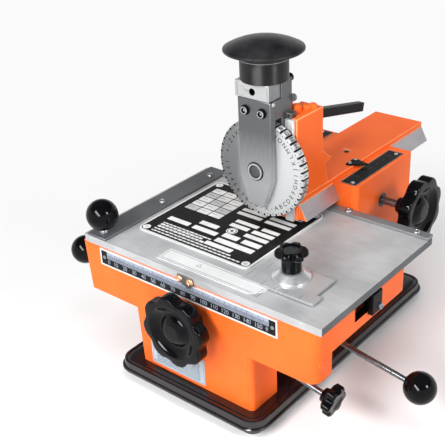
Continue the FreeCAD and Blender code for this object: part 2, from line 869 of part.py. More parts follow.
def make_body_casting():
    body = new_body("casting_blank")
    side = "housing_left + housing_taper * (housing_top - ({})) / apron_height"
    pad(body, "XZ", "front_face", "housing_rear", [
        (side.format("wall_low"), "wall_low"), ("housing_right", "wall_low"),
        ("housing_right", "housing_top"), ("housing_left", "housing_top")])
    pad(body, "XZ", "front_face", "front_face + apron_depth", [
        (side.format("apron_low"), "apron_low"), ("housing_right", "apron_low"),
        ("housing_right", "floor_top"), (side.format("floor_top"), "floor_top")])
    pad(body, "XZ", "front_face", "pedestal_rear", [
        ("pedestal_left", "base_top"), ("pedestal_right", "base_top"),
        ("pedestal_right", "floor_top"), ("pedestal_left - pedestal_flare", "floor_top")])
    doc.recompute()
    corners = straight_edges(body.Shape, "z", x="housing_right", y="front_face")
    corners += straight_edges(body.Shape, "z", x="housing_right", y="housing_rear")
    round_off(body, "housing_corner", corners)
    feet = straight_edges(body.Shape, "z", x="pedestal_right", y="front_face")
    round_off(body, "pedestal_corner", feet)

    # Inside of the housing, of the pedestal and of the two ends of the apron
    pocket(body, "XY", "floor_top", "housing_top",
           rectangle("housing_left + casting_wall", "front_face + casting_wall",
                     "housing_right - casting_wall", "housing_rear - casting_wall"))
    pocket(body, "XY", "base_top", "wall_low",
           rectangle("pedestal_left + casting_wall", "front_face + casting_wall",
                     "pedestal_right - casting_wall", "pedestal_rear"))
    pocket(body, "XY", "apron_low", "wall_low",
           rectangle("housing_left + housing_taper + apron_end", "front_face + casting_wall",
                     "pedestal_left - pedestal_flare - casting_wall", "front_face + apron_depth"),
           rectangle("pedestal_right + casting_wall", "front_face + casting_wall",
                     "housing_right - apron_end", "front_face + apron_depth"))

    # Shaft boss, hanging lugs and screw bosses
    pad(body, "XZ", "front_face + casting_merge", "front_face + feed_bush_length",
        ("0", "feed_level", "bush_radius + bush_boss_wall"))
    pad(body, "XY", "feed_level - bush_radius - bush_boss_wall", "wall_low + casting_merge",
        rectangle("-feed_lug_width / 2", "feed_lug_y",
                  "feed_lug_width / 2", "feed_lug_y + feed_lug_depth"))
    lug_front = "lever_y - lever_hub_width / 2 - lug_gap - lug_wall"
    lug_rear = "lever_y + lever_hub_width / 2 + lug_gap + lug_wall"
    pad(body, "XY", "lever_z - lug_half_width", "wall_low + casting_merge",
        rectangle("lever_x - lug_half_width", lug_front, "lever_x + lug_half_width", lug_rear))
    pad(body, "XY", "wall_low - pull_lug_drop", "wall_low + casting_merge",
        rectangle("housing_left + housing_taper", "pull_y - pull_lug_half_depth",
                  "housing_left + housing_taper + pull_lug_width", "pull_y + pull_lug_half_depth"))
    for x, y in PEDESTAL_SPOTS:
        pad(body, "XY", "base_top", f"({SCREW_REACH}) + screw_hole_end + casting_wall",
            rectangle(f"{x} - pedestal_boss / 2 - casting_merge", f"{y} - pedestal_boss / 2",
                      f"{x} + pedestal_boss / 2 + casting_merge", "pedestal_rear"))
    pocket(body, "XY", "base_top", f"({SCREW_REACH}) + screw_hole_end",
           *circles(PEDESTAL_SPOTS, "screw_shank_radius"))

    # Fork for the lever's hub, which stays clear of the floor
    pocket(body, "XY", "lever_z - lug_half_width", "wall_low",
           rectangle("lever_x - lug_half_width - cut_overrun", "lever_y - lever_hub_width / 2 - lug_gap",
                     "lever_x + lug_half_width + cut_overrun", "lever_y + lever_hub_width / 2 + lug_gap"))
    pocket(body, "XZ", lug_front, lug_rear,
           ("lever_x", "lever_z", "lever_pin_radius + running_clearance"))

    # Openings for the rack: side notches and a window over the pinion
    pocket(body, "XY", "notch_low", "housing_top",
           rectangle("housing_left - cut_overrun", "front_face + notch_front",
                     "housing_right + cut_overrun", "front_face + notch_rear"))
    pocket(body, "XY", "housing_top - recess_depth", "housing_top",
           rectangle("housing_left - cut_overrun", "flange_front - recess_gap",
                     "housing_right + cut_overrun", "flange_rear + recess_gap"))
    window = "gear_radius + gear_module + gear_side_gap"
    pocket(body, "XY", "wall_low", "floor_top",
           rectangle(f"-({window})", "feed_gear_y - gear_side_gap",
                     window, "feed_gear_y + gear_width + gear_side_gap"))

    # Room for the shaft under the floor and through its lug
    pocket(body, "XZ", "front_face + feed_bush_length", "feed_shaft_end + shaft_relief",
           ("0", "feed_level", "shaft_radius + shaft_relief"))

    # Bores for the guide rods, the bushes and the three small rods
    pocket(body, "YZ", "housing_left + rod_end_wall", "housing_right - rod_end_wall",
           ("rod_front_y", "rod_level", "rod_radius"), ("rod_rear_y", "rod_level", "rod_radius"))
    pocket(body, "XZ", "front_face", "front_face + feed_bush_length", ("0", "feed_level", "bush_radius"))
    pocket(body, "XZ", "feed_lug_y", "feed_lug_y + feed_lug_depth", ("0", "feed_level", "bush_radius"))
    pocket(body, "YZ", "housing_left", "housing_left + housing_taper + pull_lug_width",
           ("pull_y", "pull_z", "pull_rod_radius + running_clearance"))
    drill = bar("pitch_drill", "pitch_rod_radius + running_clearance", "2 * pitch_rod_inside",
                "pedestal_right - pitch_rod_inside * cos(pitch_slope)", "pitch_y",
                "pitch_z + pitch_rod_inside * sin(pitch_slope)", slope_direction("pitch_slope", "x"))
    hand_over(cut_away("body_casting", body, [drill]), "body_casting")


def make_housing_fittings():
    support = new_body("rear_support")
    pad(support, "XY", "base_top", "wall_low",
        rectangle("support_left", "support_front", "-support_left", "support_rear"))
    pocket(support, "XY", "base_top", f"({SCREW_REACH}) + screw_hole_end",
           *circles(SUPPORT_SPOTS, "screw_shank_radius"))
    hand_over(support, "rear_support")

    stop = new_body("stop_block")
    stop_top = "housing_top - recess_depth - screw_clearance"
    pad(stop, "XY", f"{stop_top} - stop_height", stop_top,
        rectangle("housing_right", "front_face + stop_front",
                  "housing_right + stop_thickness", "front_face + stop_front + stop_depth"))
    hand_over(stop, "stop_block")

    rods = new_body("guide_rods")
    pad(rods, "YZ", "housing_left + rod_end_wall", "housing_right - rod_end_wall",
        ("rod_front_y", "rod_level", "rod_radius"), ("rod_rear_y", "rod_level", "rod_radius"))
    hand_over(rods, "guide_rods")

    bushes = new_body("feed_bushes")
    pad(bushes, "XZ", "front_face", "front_face + feed_bush_length", ("0", "feed_level", "bush_radius"))
    pad(bushes, "XZ", "feed_lug_y", "feed_lug_y + feed_lug_depth", ("0", "feed_level", "bush_radius"))
    pocket(bushes, "XZ", "front_face", "feed_lug_y + feed_lug_depth",
           ("0", "feed_level", "shaft_radius + running_clearance"))
    hand_over(bushes, "feed_bushes")

    scale = new_body("front_scale")
    low = "base_top + scale_bottom"
    pad(scale, "XZ", "front_face - scale_thickness", "front_face",
        rectangle("scale_left", low, "scale_left + scale_length", f"{low} + scale_height"))
    pocket(scale, "XZ", "front_face - scale_thickness", "front_face - scale_thickness + scale_rim_height",
           rectangle("scale_left + scale_rim", f"{low} + scale_rim",
                     "scale_left + scale_length - scale_rim", f"{low} + scale_height - scale_rim"))
    hand_over(scale, "front_scale")

    plate = new_body("data_plate")
    low = "base_top + plate_bottom"
    pad(plate, "XZ", "front_face - plate_thickness", "front_face",
        rectangle("plate_left", low, "plate_left + plate_length", f"{low} + plate_height"))
    hand_over(plate, "data_plate")


def gear_face():
    """A spur gear's outline with involute flanks, one tooth pointing along +Y."""
    module = number("gear_module")
    teeth = int(number("gear_teeth"))
    pressure = math.radians(number("gear_pressure"))
    pitch = module * teeth / 2
    base = pitch * math.cos(pressure)
    root = pitch - number("gear_root") * module
    tip = pitch + module
    at_pitch = math.pi / (2 * teeth) - number("gear_backlash") / (4 * pitch)

    def involute(angle):
        return math.tan(angle) - angle

    def half_angle(radius):
        return at_pitch + involute(pressure) - involute(math.acos(min(base / radius, 1)))

    flank = [(root, half_angle(base))]
    for radius in (base, (base + pitch) / 2, pitch, (pitch + tip) / 2, tip):
        flank.append((radius, half_angle(radius)))
    points = []
    for tooth in range(teeth):
        middle = math.pi / 2 + 2 * math.pi * tooth / teeth
        sides = [(radius, middle - angle) for radius, angle in flank]
        sides += [(radius, middle + angle) for radius, angle in reversed(flank)]
        points += [FreeCAD.Vector(r * math.cos(a), r * math.sin(a), 0) for r, a in sides]
    return Part.Face(Part.makePolygon(points + points[:1]))


def make_pinion(label, x, y, z, direction):
    """A pinion with its bore, built along Z and set on its shaft."""
    wheel = gear_face().extrude(FreeCAD.Vector(0, 0, number("gear_width")))
    bore = Part.makeCylinder(number("shaft_radius"), number("gear_width"))
    feature = doc.addObject("Part::Feature", label)
    feature.Shape = wheel.cut(bore)
    place_at(feature, x, y, z, direction)
    if direction == ALONG_X:
        roll = FreeCAD.Rotation(FreeCAD.Vector(0, 0, 1), 90)
        feature.Placement.Rotation = feature.Placement.Rotation.multiply(roll)
    return hand_over(feature, label)


def rack_face(length, start, thickness):
    """A rack's outline in X and Y: teeth point to -Y, with a space at X = 0 on the pitch line Y = 0."""
    module = number("gear_module")
    pitch = math.pi * module
    lean = math.tan(math.radians(number("gear_pressure")))
    half = pitch / 4 - number("gear_backlash") / 4
    root = number("gear_root") * module
    points = [FreeCAD.Vector(start + length, thickness, 0), FreeCAD.Vector(start, thickness, 0),
              FreeCAD.Vector(start, root, 0)]
    first = math.ceil((start + pitch / 2) / pitch - 0.5)
    last = math.floor((start + length - pitch / 2) / pitch - 0.5)
    for tooth in range(first, last + 1):
        middle = (tooth + 0.5) * pitch
        for side, depth in ((-1, root), (-1, -module), (1, -module), (1, root)):
            points.append(FreeCAD.Vector(middle + side * (half + depth * lean), depth, 0))
    points.append(FreeCAD.Vector(start + length, root, 0))
    return Part.Face(Part.makePolygon(points + points[:1]))


def make_table_drive():
    rack = doc.addObject("Part::Feature", "table_rack")
    thickness = number("flange_low - feed_level - gear_radius")
    face = rack_face(number("rack_length"), number("rack_left"), thickness)
    rack.Shape = face.extrude(FreeCAD.Vector(0, 0, number("gear_width")))
    rack.Placement = FreeCAD.Placement(
        FreeCAD.Vector(0, number("feed_gear_y + gear_width"), number("feed_level + gear_radius")),
        FreeCAD.Rotation(FreeCAD.Vector(1, 0, 0), 90))
    hand_over(rack, "table_rack")

    pinion = make_pinion("feed_pinion", "0", "feed_gear_y + gear_width", "feed_level", TO_FRONT)
    pinion.Placement.Rotation = FreeCAD.Rotation(FreeCAD.Vector(1, 0, 0), 90)

    shaft_front = "front_face - feed_wheel_face + wheel_bore_end"
    shaft = bar("feed_shaft", "shaft_radius", f"feed_shaft_end - ({shaft_front})",
                "0", shaft_front, "feed_level", ALONG_Y)
    hand_over(shaft, "feed_shaft")


def make_handwheel(label, hub_length, hub_radius, x, y, z, direction):
    """A lobed handwheel. Its own Z runs out through the face, from the back of its rim."""
    body = new_body(label)
    turn_profile(body, [
        ("0", "wheel_depth - wheel_bore_end"),
        ("shaft_radius", "wheel_depth - wheel_bore_end"),
        ("shaft_radius", f"-({hub_length})"),
        (hub_radius, f"-({hub_length})"),
        (hub_radius, "wheel_back_recess"),
        ("wheel_back_radius - wheel_back_draft", "wheel_back_recess"),
        ("wheel_back_radius", "0"),
        ("wheel_radius", "0"),
        ("wheel_radius", "wheel_depth"),
        ("wheel_flat_radius", "wheel_depth", "wheel_dish_radius", -1),
        ("wheel_ring_radius", "wheel_depth - wheel_dish"),
        ("wheel_ring_radius", "wheel_depth"),
        ("wheel_disc_radius", "wheel_depth"),
        ("wheel_disc_radius", "wheel_depth - wheel_disc_sink"),
        ("0", "wheel_depth - wheel_disc_sink")])
    scallop = pocket(body, "XY", "0", "wheel_depth",
                     ("wheel_radius - wheel_scallop_depth + wheel_scallop", "0", "wheel_scallop"))
    repeat_round(body, scallop, "wheel_lobes")
    crests = [
        f"Edge{index}" for index, edge in enumerate(body.Shape.Edges, start=1)
        if isinstance(edge.Curve, Part.Line) and abs(edge.Curve.Direction.z) > 0.999
        and math.hypot(edge.CenterOfMass.x, edge.CenterOfMass.y) > number("wheel_radius") - 0.5
    ]
    round_off(body, "wheel_scallop_round", crests)
    rim = [
        f"Edge{index}" for index, edge in enumerate(body.Shape.Edges, start=1)
        if abs(edge.BoundBox.ZMin - edge.BoundBox.ZMax) < 0.001
        and math.hypot(edge.CenterOfMass.x, edge.CenterOfMass.y) > number("wheel_radius") - 6
        and edge.Length < number("wheel_radius")
    ]
    round_off(body, "wheel_edge_round", rim)
    place_at(body, x, y, z, direction)
    return hand_over(body, label)


def make_star(name, radius, height, top, lobes, scallop, edge, corners):
    """A small lobed knob: a turned form with scallops round its head, which is its top part."""
    body = new_body(name)
    turn_profile(body, corners)
    cut = pocket(body, "XY", f"{top} - {height}", top,
                 (f"{radius} + {scallop} / 3", "0", scallop))
    repeat_round(body, cut, lobes)
    rim = [
        f"Edge{index}" for index, edge in enumerate(body.Shape.Edges, start=1)
        if abs(edge.BoundBox.ZMin - number(top)) < 0.001 and abs(edge.BoundBox.ZMax - number(top)) < 0.001
    ]
    round_off(body, edge, rim)
    return body


def make_table():
    table = new_body("table_blank")
    outline = rectangle("table_left", "table_front", "table_right", "table_rear")
    pad(table, "XY", "table_low", "table_top", outline)
    round_uprights(table, "table_corner", *outline)
    pocket(table, "XY", "table_low", "table_top",
           ("clamp_axis_right", "clamp_axis_y", "clamp_screw_radius + running_clearance"))
    ball_x = "table_left + table_ball_inset"
    ball_y = "table_front + table_ball_back"
    pocket(table, "XY", "left_strip_top - stud_depth", "table_top", (ball_x, ball_y, "stud_radius"))
    cutters = [bar(f"table_hole_{place}", "pan_shank_radius", "pan_shank_length", x, y, z, direction)
               for place, (x, y, z, direction) in enumerate(PAN_SCREWS)]
    hand_over(cut_away("table_plate", table, cutters), "table_plate")

    flange = new_body("cross_slide")
    pad(flange, "XY", "flange_low", "table_low",
        rectangle("flange_left", "flange_front", "flange_right", "flange_rear"))
    pocket(flange, "XY", "flange_low", "table_low",
           ("clamp_axis_right", "clamp_axis_y", "clamp_screw_radius + running_clearance"))
    hand_over(flange, "cross_slide")

    blocks = new_body("bearing_blocks")
    bushes = new_body("rod_bushes")
    for y in ("rod_front_y", "rod_rear_y"):
        pad(blocks, "XY", "flange_low - block_height", "flange_low",
            rectangle("-block_width / 2", f"{y} - block_depth / 2",
                      "block_width / 2", f"{y} + block_depth / 2"))
        pocket(blocks, "YZ", "-block_width / 2", "block_width / 2", (y, "rod_level", "rod_bush_radius"))
        for left in ("-block_width / 2", "block_width / 2 - rod_bush_length"):
            pad(bushes, "YZ", left, f"{left} + rod_bush_length", (y, "rod_level", "rod_bush_radius"))
    pocket(bushes, "YZ", "-block_width / 2", "block_width / 2",
           ("rod_front_y", "rod_level", "rod_radius + running_clearance"),
           ("rod_rear_y", "rod_level", "rod_radius + running_clearance"))
    hand_over(blocks, "bearing_blocks")
    hand_over(bushes, "rod_bushes")

    left_strip = new_body("left_strip_blank")
    pad(left_strip, "XY", "table_top", "left_strip_top",
        rectangle("left_strip_left", "table_front", "left_strip_right", "table_rear"))
    cutters = [bar("strip_stud_hole", "stud_radius", "left_strip_thickness", ball_x, ball_y, "table_top")]
    for place, (x, y) in enumerate(LEFT_STRIP_SPOTS):
        cutters.append(bar(f"left_strip_hole_{place}", "pan_shank_radius", "left_strip_thickness",
                           x, y, "table_top"))
    hand_over(cut_away("left_strip", left_strip, cutters), "left_strip")

    rear_strip = new_body("rear_strip_blank")
    pad(rear_strip, "XY", "table_top", "rear_strip_top",
        rectangle("left_strip_right", "table_rear - rear_strip_depth", "table_right", "table_rear"))
    cutters = []
    for place, (x, y) in enumerate(REAR_STRIP_SPOTS):
        cutters.append(bar(f"rear_strip_hole_{place}", "pan_shank_radius", "rear_strip_thickness",
                           x, y, "table_top"))
    hand_over(cut_away("rear_strip", rear_strip, cutters), "rear_strip")

    head_dome = dome_radius("pan_head_radius", "pan_head_height - pan_head_edge")
    screws = [
        turned(f"pan_screw_{place}", [
            ("0", "-pan_shank_length"), ("pan_shank_radius", "-pan_shank_length"),
            ("pan_shank_radius", "0"), ("pan_head_radius", "0"),
            ("pan_head_radius", "pan_head_edge", head_dome, 1), ("0", "pan_head_height")],
            x, y, z, tuple(-part for part in direction))
        for place, (x, y, z, direction) in enumerate(PAN_SCREWS)
    ]
    hand_over(group("table_screws", screws), "table_screws")

    ball_height = "stud_show + table_ball_radius"
    reach = "sqrt(table_ball_radius ^ 2 - stud_radius ^ 2)"
    ball = turned("table_ball", [
        ("0", "-stud_depth"), ("stud_radius", "-stud_depth"),
        ("stud_radius", f"{ball_height} - {reach}", "table_ball_radius", 1),
        ("table_ball_radius", ball_height, "table_ball_radius", 1),
        ("0", f"{ball_height} + table_ball_radius")], ball_x, ball_y, "left_strip_top")
    hand_over(ball, "table_ball")


def make_table_plates():
    gauge = new_body("gauge_plate")
    right = "gauge_left + gauge_length"
    front = "front_face + gauge_front"
    rear = "front_face + gauge_front + gauge_depth"
    pad(gauge, "XY", "table_top", "table_top + gauge_thickness", [
        ("gauge_left", front), (f"{right} - gauge_chamfer", front), (right, f"{front} + gauge_chamfer"),
        (right, rear), ("gauge_left", rear)])
    hand_over(gauge, "gauge_plate")

    work = new_body("nameplate")
    outline = rectangle("work_left", "front_face + work_front",
                        "work_left + work_length", "front_face + work_front + work_depth")
    pad(work, "XY", "table_top", "table_top + work_thickness", outline)
    round_uprights(work, "work_corner", *outline)
    hand_over(work, "nameplate")

    pointer = new_body("front_pointer")
    upper = "table_top - pointer_top_drop"
    shoulder = "table_top - pointer_shoulder_drop"
    low = "table_top - pointer_height"
    tip = "pointer_centre + pointer_tip_right"
    left = "pointer_centre - pointer_width / 2"
    right = "pointer_centre + pointer_width / 2"
    pad(pointer, "XZ", "table_front - pointer_thickness", "table_front", [
        (left, upper), (left, shoulder), (f"{tip} - pointer_tip_width / 2", low),
        (f"{tip} + pointer_tip_width / 2", low), (right, shoulder), (right, upper)])
    for x, z in POINTER_SPOTS:
        pocket(pointer, "XZ", "table_front - pointer_thickness", "table_front", (x, z, "pan_shank_radius"))
    hand_over(pointer, "front_pointer")


def make_clamp():
    plate = new_body("clamp_plate")
    right = "clamp_left + clamp_length"
    front = "front_face + clamp_front"
    rear = "front_face + clamp_front + clamp_depth"
    pad(plate, "XY", "table_top + gauge_thickness", "clamp_top", [
        ("clamp_left", front), (f"{right} + clamp_tab", front),
        (f"{right} + clamp_tab", f"{front} + clamp_tab_depth"), (right, f"{front} + clamp_tab_depth"),
        (right, rear), ("clamp_left", rear)])
    half_slot = "clamp_screw_radius + clamp_slot_clearance"
    end_radius = f"({half_slot}) * {HALF_ROUND}"
    left_end = "clamp_axis_right - clamp_travel"
    right_end = "clamp_axis_right + clamp_travel"
    pocket(plate, "XY", "table_top + gauge_thickness", "clamp_top", [
        (left_end, f"clamp_axis_y - ({half_slot})"),
        (right_end, f"clamp_axis_y - ({half_slot})", end_radius, 1),
        (right_end, f"clamp_axis_y + {half_slot}"),
        (left_end, f"clamp_axis_y + {half_slot}", end_radius, 1)])
    hand_over(plate, "clamp_plate")

    cone = turned("clamp_cone", [
        ("clamp_screw_radius", "0"), ("cone_radius", "0"), ("cone_radius", "cone_edge"),
        ("cone_top_radius", "cone_height"), ("clamp_screw_radius", "cone_height")],
        "clamp_axis_right", "clamp_axis_y", "clamp_top")
    hand_over(cone, "clamp_cone")

    screw_end = "table_top - clamp_top - cone_height - table_thickness"
    head_low = "clamp_stem_height"
    head_top = "clamp_stem_height + clamp_head_height"
    knob = make_star("clamp_knob", "clamp_head_radius", "clamp_head_height", head_top,
                     "clamp_head_lobes", "clamp_head_scallop", "clamp_head_round", [
                         ("0", screw_end), ("clamp_screw_radius", screw_end), ("clamp_screw_radius", "0"),
                         ("clamp_stem_radius", "0"), ("clamp_stem_radius", head_low),
                         ("clamp_head_radius", head_low), ("clamp_head_radius", head_top),
                         ("0", head_top)])
    place_at(knob, "clamp_axis_right", "clamp_axis_y", "cone_top")
    hand_over(knob, "clamp_knob")


def make_column():
    body = new_body("rear_column")
    pad(body, "XZ", "column_front", "column_rear", [
        ("-column_half_width", "base_top"), ("column_half_width", "base_top"),
        ("column_half_width", "column_top"), ("slot_half", "column_top"), ("slot_half", "flank_top"),
        ("slot_foot_half", "arm_low - slide_clearance"),
        ("-slot_foot_half - gib_thickness", "arm_low - slide_clearance"),
        ("-slot_half - gib_thickness", "flank_top"), ("-slot_half - gib_thickness", "column_top"),
        ("-column_half_width", "column_top")])
    round_uprights(body, "column_corner",
                   ("column_half_width", "column_front"), ("-column_half_width", "column_front"))
    pocket(body, "XY", "base_top", "cavity_top",
           rectangle("-column_cavity_half", "cavity_front", "column_cavity_half", "cavity_rear"))
    reach = "gear_radius + gear_module + gear_side_gap"
    pocket(body, "XY", "cavity_top - cut_overrun", "arm_low",
           rectangle("-gear_width / 2 - gear_side_gap", f"arm_shaft_back - ({reach})",
                     "gear_width / 2 + gear_side_gap", f"arm_shaft_back + {reach}"))
    pocket(body, "YZ", "-column_bush_length - gear_width", "column_half_width",
           ("arm_shaft_back", "arm_gear_level", "bush_radius"))
    pocket(body, "XY", "base_top", f"({SCREW_REACH}) + screw_hole_end",
           *circles(COLUMN_SPOTS, "screw_shank_radius"))
    pocket(body, "XZ", "column_rear - lock_stud_depth", "column_rear",
           ("lock_knob_left", "column_top - lock_knob_drop", "lock_stud_radius + running_clearance"))
    hand_over(body, "rear_column")

    bushes = new_body("column_bushes")
    left_end = "-column_bush_length - gear_width"
    right_end = "column_half_width"
    pad(bushes, "YZ", left_end, f"{left_end} + column_bush_length",
        ("arm_shaft_back", "arm_gear_level", "bush_radius"))
    pad(bushes, "YZ", f"{right_end} - column_bush_length", right_end,
        ("arm_shaft_back", "arm_gear_level", "bush_radius"))
    pocket(bushes, "YZ", left_end, right_end,
           ("arm_shaft_back", "arm_gear_level", "shaft_radius + running_clearance"))
    hand_over(bushes, "column_bushes")

    gib = new_body("dovetail_gib")
    pad(gib, "XZ", "column_front", "column_rear", [
        ("-slot_foot_half - gib_thickness", "arm_low - slide_clearance"),
        ("-slot_foot_half", "arm_low - slide_clearance"), ("-slot_half", "flank_top"),
        ("-slot_half", "column_top"), ("-slot_half - gib_thickness", "column_top"),
        ("-slot_half - gib_thickness", "flank_top")])
    hand_over(gib, "dovetail_gib")

    scale = new_body("column_scale")
    right = "column_half_width - column_scale_inset"
    front = "column_front + column_scale_front"
    pad(scale, "XY", "column_top", "column_top + column_scale_thickness",
        rectangle(f"{right} - column_scale_width", front, right, f"{front} + column_scale_length"),
        rectangle(f"-({right})", front, f"-({right}) + column_scale_width",
                  "column_rear - column_scale_rear"))
    hand_over(scale, "column_scale")

    knob = turned("lock_knob", [
        ("0", "-lock_stud_depth"), ("lock_stud_radius", "-lock_stud_depth"),
        ("lock_stud_radius", "hub_gap"),
        ("lock_knob_radius - lock_knob_draft", "hub_gap"), ("lock_knob_radius", "lock_knob_waist"),
        ("lock_knob_radius", "lock_knob_depth - lock_knob_edge", "lock_knob_edge_round", 1),
        ("lock_knob_radius - lock_knob_edge", "lock_knob_depth"), ("0", "lock_knob_depth")],
        "lock_knob_left", "column_rear", "column_top - lock_knob_drop", ALONG_Y)
    hand_over(knob, "lock_knob")


def make_arm():
    arm = new_body("arm_slide")
    pad(arm, "XZ", "foot_front", "arm_rear", [
        ("-arm_foot_half", "arm_low"), ("arm_foot_half", "arm_low"), ("arm_half_width", "flank_top"),
        ("arm_half_width", "arm_top"), ("-arm_half_width", "arm_top"), ("-arm_half_width", "flank_top")])
    pad(arm, "XZ", "arm_front + cover_thickness", "foot_front",
        rectangle("-arm_half_width", "arm_low", "arm_half_width", "arm_top"))
    pocket(arm, "XY", "arm_low", "arm_low + arm_rack_groove",
           rectangle("-gear_width / 2", "foot_front", "gear_width / 2", "arm_rear"))
    mark = "bracket_rear + arm_mark_back"
    pocket(arm, "XY", "arm_top - arm_mark_depth", "arm_top",
           rectangle("arm_mark_side - arm_mark_length / 2", mark,
                     "arm_mark_side + arm_mark_length / 2", f"{mark} + arm_mark_width"))
    hand_over(arm, "arm_slide")

    rack = doc.addObject("Part::Feature", "arm_rack")
    thickness = number("arm_low + arm_rack_groove - arm_gear_level - gear_radius")
    start = number("arm_rack_front - arm_shaft_back")
    face = rack_face(number("arm_rack_length"), start, thickness)
    rack.Shape = face.extrude(FreeCAD.Vector(0, 0, number("gear_width")))
    upright = FreeCAD.Rotation(FreeCAD.Vector(1, 0, 0), 90)
    quarter = FreeCAD.Rotation(FreeCAD.Vector(0, 0, 1), 90)
    corner = FreeCAD.Vector(
        number("-gear_width / 2"), number("arm_shaft_back"), number("arm_gear_level + gear_radius"))
    rack.Placement = FreeCAD.Placement(corner, quarter.multiply(upright))
    hand_over(rack, "arm_rack")

    make_pinion("arm_pinion", "-gear_width / 2", "arm_shaft_back", "arm_gear_level", ALONG_X)
    shaft_left = "-column_bush_length - gear_width"
    shaft = bar("arm_shaft", "shaft_radius", f"arm_wheel_face - wheel_bore_end - ({shaft_left})",
                shaft_left, "arm_shaft_back", "arm_gear_level", ALONG_X)
    hand_over(shaft, "arm_shaft")

    pointer = new_body("arm_pointer")
    front = "bracket_rear + arm_pointer_back"
    rear = f"{front} + arm_pointer_length"
    tip = f"{front} + arm_pointer_tip_back"
    left = "arm_half_width - arm_pointer_inside"
    neck = "arm_half_width - arm_pointer_neck"
    right = "arm_half_width + arm_pointer_reach"
    pad(pointer, "XY", "arm_top", "arm_top + arm_pointer_thickness", [
        (left, front), (neck, front), (right, f"{tip} - arm_pointer_tip_width / 2"),
        (right, f"{tip} + arm_pointer_tip_width / 2"), (neck, rear), (left, rear)])
    hand_over(pointer, "arm_pointer")


def make_bracket():
    body = new_body("head_bracket")
    rear = "bracket_rear"
    pad(body, "YZ", "-arm_half_width", "arm_half_width", [
        ("arm_front", "arm_top"), (f"{rear} + bracket_foot_out", "arm_top"),
        (f"{rear} + bracket_foot_out", "arm_top + bracket_foot_height"),
        (f"{rear} + bracket_hollow_out", "arm_top + bracket_foot_height + bracket_hollow_height"),
        (f"{rear} + bracket_tip_out", "arm_top + bracket_tip_height"),
        (rear, "arm_top + bracket_tip_height + bracket_tip_slope"),
        (rear, "bracket_top"), ("arm_front", "bracket_top")])
    pocket(body, "XY", "arm_top", "bracket_top", [
        ("-ram_half_width - ram_flange - ram_gap", "arm_front + cover_thickness"),
        ("ram_half_width + ram_flange + ram_gap", "arm_front + cover_thickness"),
        ("ram_half_width + ram_flange + ram_gap", "ram_rear + ram_gap"),
        ("-ram_half_width - ram_flange - ram_gap", "ram_rear + ram_gap")])
    pocket(body, "XZ", "arm_front", "arm_front + cover_thickness",
           rectangle("-arm_half_width", "arm_top", "arm_half_width", "bracket_top"))
    slot_half = "index_width / 2 + index_slot_gap"
    pocket(body, "XY", "bracket_top - index_slot_height", "bracket_top",
           rectangle(f"-({slot_half})", "arm_front + index_slot_front", slot_half, rear))
    pocket(body, "YZ", "-index_pin_half", "index_pin_half",
           ("index_y", "index_z", "index_pin_radius + running_clearance"))
    hand_over(body, "head_bracket")

    covers = new_body("slide_gibs")
    edge = "ram_half_width + ram_gap"
    pad(covers, "XZ", "arm_front", "arm_front + cover_thickness",
        rectangle("-arm_half_width", "arm_low", f"-({edge})", "bracket_top"),
        rectangle(edge, "arm_low", "arm_half_width", "bracket_top"))
    hand_over(covers, "slide_gibs")

    lever = new_body("index_lever")
    pad(lever, "XZ", "-index_width / 2", "index_width / 2",
        rectangle("0", "-index_height / 2", "index_reach", "index_height / 2"))
    doc.recompute()
    round_off(lever, "index_round", straight_edges(lever.Shape, "x"))
    pad(lever, "XZ", "-index_width / 2", "index_width / 2", ("0", "0", "index_eye_radius"))
    pad(lever, "XZ", "-index_pin_half", "index_pin_half", ("0", "0", "index_pin_radius"))
    lever.Placement.Rotation = FreeCAD.Rotation(FreeCAD.Vector(0, 0, 1), 90).multiply(
        FreeCAD.Rotation(FreeCAD.Vector(0, 1, 0), number("index_slope")))
    bind(lever, "Placement.Base.y", "index_y")
    bind(lever, "Placement.Base.z", "index_z")
    hand_over(lever, "index_lever")


